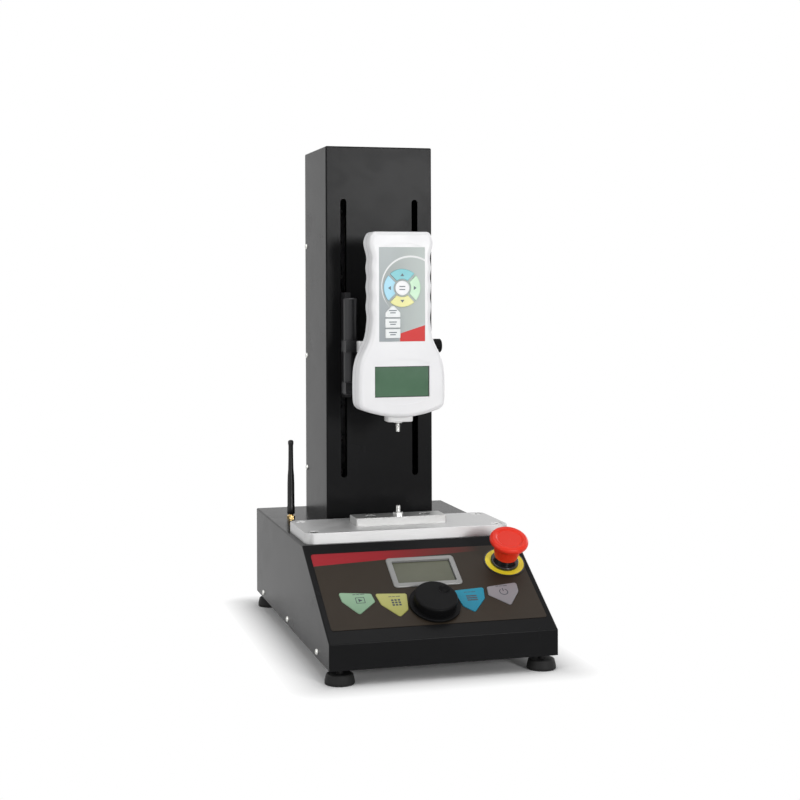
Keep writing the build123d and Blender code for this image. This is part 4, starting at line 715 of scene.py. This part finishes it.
# Antenna: gold-plated threaded connector on the deck and a black moulded rubber whip that
# turns on it. The whip is thick at its foot, thin above, with a rounded button at its tip.
gold = brushed_finish(
    "gold_plate", (0.75, 0.52, 0.20), (0.88, 0.64, 0.28), (0.22, 0.32), (40.0, 40.0, 1.0)
)
dress(gold, "antenna_connector")
whip_finish = grained_finish(
    "antenna_black",
    (0.005, 0.005, 0.005),
    (0.008, 0.008, 0.008),
    (0.36, 0.46),
    grain=1300.0,
    specular_ior_level=0.3,
)
whip_low, whip_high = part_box("antenna_whip")
whip_centre = (whip_low + whip_high) / 2
WHIP_FOOT = [(0.0040, 0.0), (0.0044, 0.01), (0.0044, 0.10), (0.0041, 0.11), (0.0040, 0.40)]
WHIP_STEM = [(0.0037, 0.52), (0.0031, 0.60), (0.0028, 0.75), (0.0027, 0.925)]
WHIP_TIP = [(0.0030, 0.94), (0.0032, 0.96), (0.0031, 0.98), (0.0024, 0.994), (0.0010, 1.0)]
whip_shape = [
    (radius, whip_low.z + share * (whip_high.z - whip_low.z))
    for radius, share in WHIP_FOOT + WHIP_STEM + WHIP_TIP
]
whip_mesh = turned(whip_centre.x, whip_centre.y, whip_shape)
whip = new_piece("antenna_whip_moulding", whip_mesh, whip_finish, "antenna_whip")
smooth_piece(whip, 40.0)
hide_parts("antenna_whip")

# Rear wall fittings: mains inlet in black thermoplastic with its rocker, snapped into the
# tray's rear wall, and nickel-plated data sockets.
inlet_finish = grained_finish(
    "inlet_black", (0.014, 0.014, 0.015), (0.020, 0.020, 0.021), (0.48, 0.60), grain=1200.0
)
dress(inlet_finish, "power_inlet")
rocker_finish = grained_finish(
    "rocker_black", (0.016, 0.016, 0.017), (0.022, 0.022, 0.023), (0.22, 0.32), strength=0.1
)
dress(rocker_finish, "power_rocker")
nickel = brushed_finish(
    "socket_nickel", (0.52, 0.52, 0.50), (0.62, 0.62, 0.60), (0.26, 0.38), (1.0, 40.0, 40.0)
)
dress(nickel, "data_sockets")

# Drive in the column: ground steel rails and blocks bolted to the spine, the drive screw in
# its bearing blocks with a bronze nut, and the alloy pulley on the motor's shaft.
ground_steel = brushed_finish(
    "ground_steel", (0.16, 0.16, 0.165), (0.22, 0.22, 0.225), (0.30, 0.42), (50.0, 50.0, 1.0)
)
dress(ground_steel, "guide_rails", "rail_blocks", "drive_screw")
bearing_finish = brushed_finish(
    "bearing_block", (0.10, 0.10, 0.105), (0.14, 0.14, 0.145), (0.44, 0.56), (1.0, 30.0, 30.0)
)
dress(bearing_finish, "screw_bearings", "motor_pulley")
bronze = brushed_finish(
    "nut_bronze", (0.50, 0.34, 0.15), (0.60, 0.42, 0.20), (0.30, 0.42), (40.0, 40.0, 1.0)
)
dress(bronze, "screw_nut")

# Crosshead: black anodised carriage whose arms come out through the slots, posts and gauge
# bracket in satin black, and a bright clamp bar behind the gauge.
anodised_black = grained_finish(
    "anodised_black",
    (0.018, 0.018, 0.020),
    (0.026, 0.026, 0.028),
    (0.34, 0.46),
    grain=1500.0,
    metallic=0.4,
)
dress(anodised_black, "carriage", "guide_posts", "gauge_bracket")
clamp_finish = brushed_finish(
    "clamp_bar", (0.74, 0.74, 0.74), (0.82, 0.82, 0.82), (0.34, 0.46), (1.0, 50.0, 50.0)
)
dress(clamp_finish, "gauge_clamp_bar")

# Gauge case: two moulded halves in white plastic with a fine spark-eroded skin, closed on
# each other along a seam, with a thin dark line of painted shade where the gap between them
# falls in shadow. The nose carries the load cell.
SEAM_HALF, SEAM_EDGE = 0.00025, 0.0005
case_white = grained_finish(
    "gauge_white",
    (0.76, 0.76, 0.775),
    (0.80, 0.80, 0.81),
    (0.36, 0.46),
    grain=1500.0,
    depth=0.00008,
    strength=0.15,
)
tree = case_white.node_tree
shader = tree.nodes["Principled BSDF"]
plastic = shader.inputs["Base Color"].links[0].from_socket
split = add_node(tree, "ShaderNodeSeparateXYZ", {0: object_place(tree)})
seam_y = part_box("gauge_front_shell")[1].y
# Painted shade: a thin dark grey line along the seam, standing in for the shadow in the gap.
off_seam = sums(tree, "ABSOLUTE", sums(tree, "SUBTRACT", split.outputs["Y"], seam_y))
seam_shade_mask = spread(tree, off_seam, SEAM_HALF, SEAM_EDGE, 1.0, 0.0)
seam_shaded = blend_colours(tree, seam_shade_mask, plastic, (0.36, 0.36, 0.37, 1.0))
tree.links.new(seam_shaded, shader.inputs["Base Color"])
dress(case_white, "gauge_rear_shell", "gauge_front_shell")
nose_finish = grained_finish(
    "nose_white", (0.68, 0.68, 0.68), (0.74, 0.74, 0.74), (0.34, 0.44), grain=1500.0
)
dress(nose_finish, "load_cell")

# Gauge overlay: printed film in two greys parted by a white arc, with a plain red wedge at
# its lower right corner. It is glued to the front half.
print_low, print_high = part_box("gauge_overlay")
ARC_X, ARC_Z, ARC_RADIUS = 0.0095, 0.3765, 0.0318
ARC_THIN, ARC_THICK = 0.00025, 0.0010  # half widths of the arc at its lower and upper end
WEDGE_END, RISE_START = -0.0025, -0.002  # across: its left end, and where its top begins to rise
WEDGE_LOW, WEDGE_HIGH = 0.0085, 0.0170  # its height there and at the film's right edge
TONE_HALF = 0.025
gauge_film, tree, shader = start_finish("gauge_film", specular_ior_level=0.25)
split = add_node(tree, "ShaderNodeSeparateXYZ", {0: object_place(tree)})
x, z = split.outputs["X"], split.outputs["Z"]


def distance(tree, parts):
    """The length of a line from its parts along the axes."""
    return sums(tree, "SQRT", sums(tree, "ADD", *[sums(tree, "MULTIPLY", p, p) for p in parts]))


dz = sums(tree, "SUBTRACT", z, ARC_Z)
reach = distance(tree, [sums(tree, "SUBTRACT", x, ARC_X), dz])
inside = sums(tree, "LESS_THAN", reach, ARC_RADIUS)
line_half = spread(tree, dz, -0.020, 0.030, ARC_THIN, ARC_THICK)
off_arc = sums(tree, "ABSOLUTE", sums(tree, "SUBTRACT", reach, ARC_RADIUS))
arc_fade = spread(tree, dz, -0.024, -0.012, 0.0, 1.0)
arc_line = sums(tree, "MULTIPLY", sums(tree, "LESS_THAN", off_arc, line_half), arc_fade)
lower = spread(tree, z, print_low.z, print_high.z, 1.0, 0.0)
outer_grey = blend_colours(tree, lower, (0.46, 0.50, 0.50, 1.0), (0.32, 0.35, 0.37, 1.0))
rightward = spread(tree, x, -TONE_HALF, TONE_HALF, 0.0, 1.0)
inner_grey = blend_colours(tree, rightward, (0.36, 0.39, 0.39, 1.0), (0.50, 0.55, 0.53, 1.0))
right_part = sums(tree, "MAXIMUM", inside, spread(tree, x, -0.012, 0.004, 0.0, 1.0))
paper = blend_colours(tree, right_part, outer_grey, inner_grey)
paper = blend_colours(tree, arc_line, paper, (0.78, 0.79, 0.79, 1.0))
wedge_top = spread(tree, x, RISE_START, print_high.x, WEDGE_LOW, WEDGE_HIGH)
under_top = sums(tree, "LESS_THAN", sums(tree, "SUBTRACT", z, print_low.z), wedge_top)
wedge = sums(tree, "MULTIPLY", sums(tree, "GREATER_THAN", x, WEDGE_END), under_top)
paper = blend_colours(tree, wedge, paper, (0.62, 0.034, 0.032, 1.0))
tree.links.new(paper, shader.inputs["Base Color"])
grain_out = use_group(tree, grain_group, scale=1700.0)
vary_gloss(tree, shader, grain_out["Patches"], 0.38, 0.48)
bump(tree, shader, grain_out["Height"], 0.12, 0.00005)
dress(gauge_film, "gauge_overlay")

# Gauge keys: moulded caps held in by a lip behind the case's wall, a ring of four round a
# white one and three small white ones below. An arrow head or two dashes are on each.
white_pad = ((0.70, 0.73, 0.73), (0.78, 0.80, 0.80))
pad_tones = {
    "gauge_key_up": ((0.12, 0.47, 0.52), (0.20, 0.55, 0.60)),
    "gauge_key_right": ((0.42, 0.68, 0.44), (0.55, 0.78, 0.56)),
    "gauge_key_down": ((0.66, 0.64, 0.20), (0.78, 0.76, 0.32)),
    "gauge_key_left": ((0.22, 0.55, 0.72), (0.36, 0.66, 0.80)),
    "gauge_key_centre": ((0.76, 0.76, 0.77), (0.82, 0.82, 0.83)),
    "gauge_key_home": white_pad,
    "gauge_key_units": white_pad,
    "gauge_key_zero": white_pad,
}
PAD_MARK_THICK = 0.00006
pad_ink = grained_finish(
    "pad_ink", (0.07, 0.10, 0.12), (0.10, 0.13, 0.15), (0.45, 0.55), grain=1600.0
)
arrow_turns = {
    "gauge_key_right": 0,
    "gauge_key_up": 90,
    "gauge_key_left": 180,
    "gauge_key_down": 270,
}
ARROW = ((0.0018, 0.0), (-0.0012, 0.0022), (-0.0012, -0.0022))
DASH_HALF = 0.0005
centre_rows = ((0.0016, 0.0032), (-0.0016, 0.0032))  # each dash's height and half length
small_rows = ((0.0012, 0.0042), (-0.0012, 0.0030))


def face_mark(points, front):
    """A thin printed shape on the gauge's front from (x, z) corners."""
    count = len(points)
    verts = [Vector((px, front + MARK_SINK, pz)) for px, pz in points]
    verts += [Vector((px, front - PAD_MARK_THICK, pz)) for px, pz in points]
    faces = [list(range(count)), [count + i for i in range(count)][::-1]]
    faces += [[i, (i + 1) % count, count + (i + 1) % count, count + i] for i in range(count)]
    return verts, faces


def pad_marks(name, px, pz, front):
    """A small arrow head or two dashes for each gauge key."""
    if name in arrow_turns:
        a = math.radians(arrow_turns[name])
        cos, sin = math.cos(a), math.sin(a)
        corners = [(px + u * cos - v * sin, pz + u * sin + v * cos) for u, v in ARROW]
        return [face_mark(corners, front)]
    marks = []
    for height, half in centre_rows if name == "gauge_key_centre" else small_rows:
        low, high = pz + height - DASH_HALF, pz + height + DASH_HALF
        corners = [(px - half, low), (px + half, low), (px + half, high), (px - half, high)]
        marks.append(face_mark(corners, front))
    return marks


for name, (dark, light) in pad_tones.items():
    pad = grained_finish(name + "_film", dark, light, (0.36, 0.46), grain=1600.0, strength=0.12)
    dress(pad, name)
    pad_low, pad_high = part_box(name)
    px, pz = (pad_low.x + pad_high.x) / 2, (pad_low.z + pad_high.z) / 2
    marks = join_meshes(pad_marks(name, px, pz, pad_low.y))
    new_piece(name + "_mark", marks, pad_ink, name)

# Gauge display: green reflective liquid crystal on the board behind the case's window, with
# a darker rim of painted shade along the window's edge, where its recess would shade it.
LENS_HALF, LENS_LOW, LENS_HIGH = 0.0299, 0.2596, 0.2920
gauge_glass = glass_finish(
    "gauge_glass",
    (0.032, 0.106, 0.048),
    (0.020, 0.045, 0.028),
    (-LENS_HALF, LENS_LOW),
    (LENS_HALF, LENS_HIGH),
    True,
)
dress(gauge_glass, "gauge_display")

# Gauge shaft: turned stainless with the same M5 thread as the lower stud, screwed into the
# load cell. Its collar tapers down to the thread.
shaft_low, shaft_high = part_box("gauge_shaft")
shaft_top = shaft_high.z
THREAD_SUNK = 0.0005
collar_shape = [
    (0.0031, shaft_top - 0.0031),
    (0.0034, shaft_top - 0.0030),
    (0.0049, shaft_top - 0.0015),
    (0.0049, shaft_top - 0.0002),
    (0.0047, shaft_top),
]
shaft_rod = threaded_rod(axis_x, axis_y, shaft_low.z, shaft_top - THREAD_SUNK)
shaft_mesh = join_meshes([shaft_rod, turned(axis_x, axis_y, collar_shape)])
shaft_piece = new_piece("threaded_shaft", shaft_mesh, stainless, "crosshead")
smooth_piece(shaft_piece, 28.0)
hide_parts("gauge_shaft")

# Levelling feet: black moulded rubber pucks on steel stems, screwed up into the tray's floor.
# They carry the machine, and turning one levels its corner.
foot_finish = grained_finish(
    "foot_rubber",
    (0.008, 0.008, 0.008),
    (0.012, 0.012, 0.012),
    (0.58, 0.72),
    specular_ior_level=0.2,
)
dress(foot_finish, "foot_front_left", "foot_rear_left", "foot_front_right", "foot_rear_right")

# Studio: a white floor that keeps the machine's shadow and fades to plain white around it, a
# strong soft lamp at the front right, weaker ones at the left, overhead and at the right rear.
FLOOR = 6.0
SHADOW_REACH = 0.038  # how far beside the machine the floor takes to fade
AIR_LIGHT = 0.30
floor_mesh = bpy.data.meshes.new("studio_floor")
floor_mesh.from_pydata(
    [(-FLOOR, -FLOOR, 0), (FLOOR, -FLOOR, 0), (FLOOR, FLOOR, 0), (-FLOOR, FLOOR, 0)],
    [],
    [(0, 1, 2, 3)],
)
floor = bpy.data.objects.new("studio_floor", floor_mesh)
bpy.context.scene.collection.objects.link(floor)
floor_finish, tree, shader = start_finish("studio_white", roughness=0.9, specular_ior_level=0.1)
split = add_node(tree, "ShaderNodeSeparateXYZ", {0: object_place(tree)})
beside = []
for axis, half in (("X", cad_box[1][0]), ("Y", cad_box[1][1])):
    past = sums(tree, "SUBTRACT", sums(tree, "ABSOLUTE", split.outputs[axis]), half)
    beside.append(sums(tree, "MAXIMUM", past, 0.0))
away = distance(tree, beside)
mottle = use_group(tree, grain_group, scale=300.0)
card = blend_colours(tree, mottle["Patches"], (0.92, 0.92, 0.92, 1.0), (0.94, 0.94, 0.94, 1.0))
tree.links.new(card, shader.inputs["Base Color"])


def seen_rays(tree):
    """1 for what the camera sees, directly, mirrored or through glass."""
    path = add_node(tree, "ShaderNodeLightPath").outputs
    bounced = sums(tree, "MAXIMUM", path["Is Glossy Ray"], path["Is Transmission Ray"])
    return sums(tree, "MAXIMUM", path["Is Camera Ray"], bounced)


glow = add_node(tree, "ShaderNodeEmission", {"Color": (1.0, 1.0, 1.0, 1.0), "Strength": 1.0})
beyond = spread(tree, away, 0.0, SHADOW_REACH, 0.0, 1.0)
fade_out = sums(tree, "MULTIPLY", seen_rays(tree), beyond)
mixed = add_node(
    tree, "ShaderNodeMixShader", {0: fade_out, 1: shader.outputs[0], 2: glow.outputs[0]}
)
tree.links.new(mixed.outputs[0], tree.nodes["Material Output"].inputs["Surface"])
floor_mesh.materials.append(floor_finish)

world = bpy.data.worlds.new("studio_air")
bpy.context.scene.world = world
world.use_nodes = True
tree = world.node_tree
background = tree.nodes["Background"]
background.inputs["Color"].default_value = (1.0, 1.0, 1.0, 1.0)
air = spread(tree, seen_rays(tree), 0.0, 1.0, AIR_LIGHT, 1.0)
tree.links.new(air, background.inputs["Strength"])


def soft_lamp(name, spot, aim, size, power):
    """A square area lamp turned towards a point."""
    light = bpy.data.lights.new(name, "AREA")
    light.shape = "SQUARE"
    light.size = size
    light.energy = power
    lamp = bpy.data.objects.new(name, light)
    lamp.location = spot
    lamp.rotation_euler = (Vector(aim) - Vector(spot)).to_track_quat("-Z", "Y").to_euler()
    bpy.context.scene.collection.objects.link(lamp)


soft_lamp("lamp_front", (0.88, -3.0, 0.76), (0, 0, 0.35), 0.60, 37.5)
soft_lamp("lamp_left", (-1.8, -0.9, 1.2), (0, 0, 0.25), 1.2, 13.0)
soft_lamp("lamp_top", (0.1, -0.3, 2.2), (0, 0, 0.2), 1.4, 12.0)
soft_lamp("lamp_rear", (2.2, 1.1, 1.1), (0, 0, 0.25), 1.2, 12.0)

# Camera: where the photograph was taken from, slightly left of the machine and at gauge
# height, with the frame shifted down to hold the base.
YAW, PITCH, ROLL = math.radians(15.457), math.radians(0.57), math.radians(-0.18)
EYE = (-0.41963, -1.55142, 0.37667)
ahead = Vector(
    (math.sin(YAW) * math.cos(PITCH), math.cos(YAW) * math.cos(PITCH), -math.sin(PITCH))
)
level_right = Vector((math.cos(YAW), -math.sin(YAW), 0.0))
level_up = level_right.cross(ahead)
right = math.cos(ROLL) * level_right + math.sin(ROLL) * level_up
up = math.cos(ROLL) * level_up - math.sin(ROLL) * level_right
camera_data = bpy.data.cameras.new("studio_camera")
camera_data.sensor_width = 36.0
camera_data.lens = 66.69
camera_data.shift_y = -0.1236
camera = bpy.data.objects.new("studio_camera", camera_data)
turn = Matrix((right, up, -ahead)).transposed()
camera.matrix_world = Matrix.Translation(EYE) @ turn.to_4x4()
bpy.context.scene.collection.objects.link(camera)
bpy.context.scene.camera = camera
bpy.context.scene.view_settings.view_transform = "Standard"
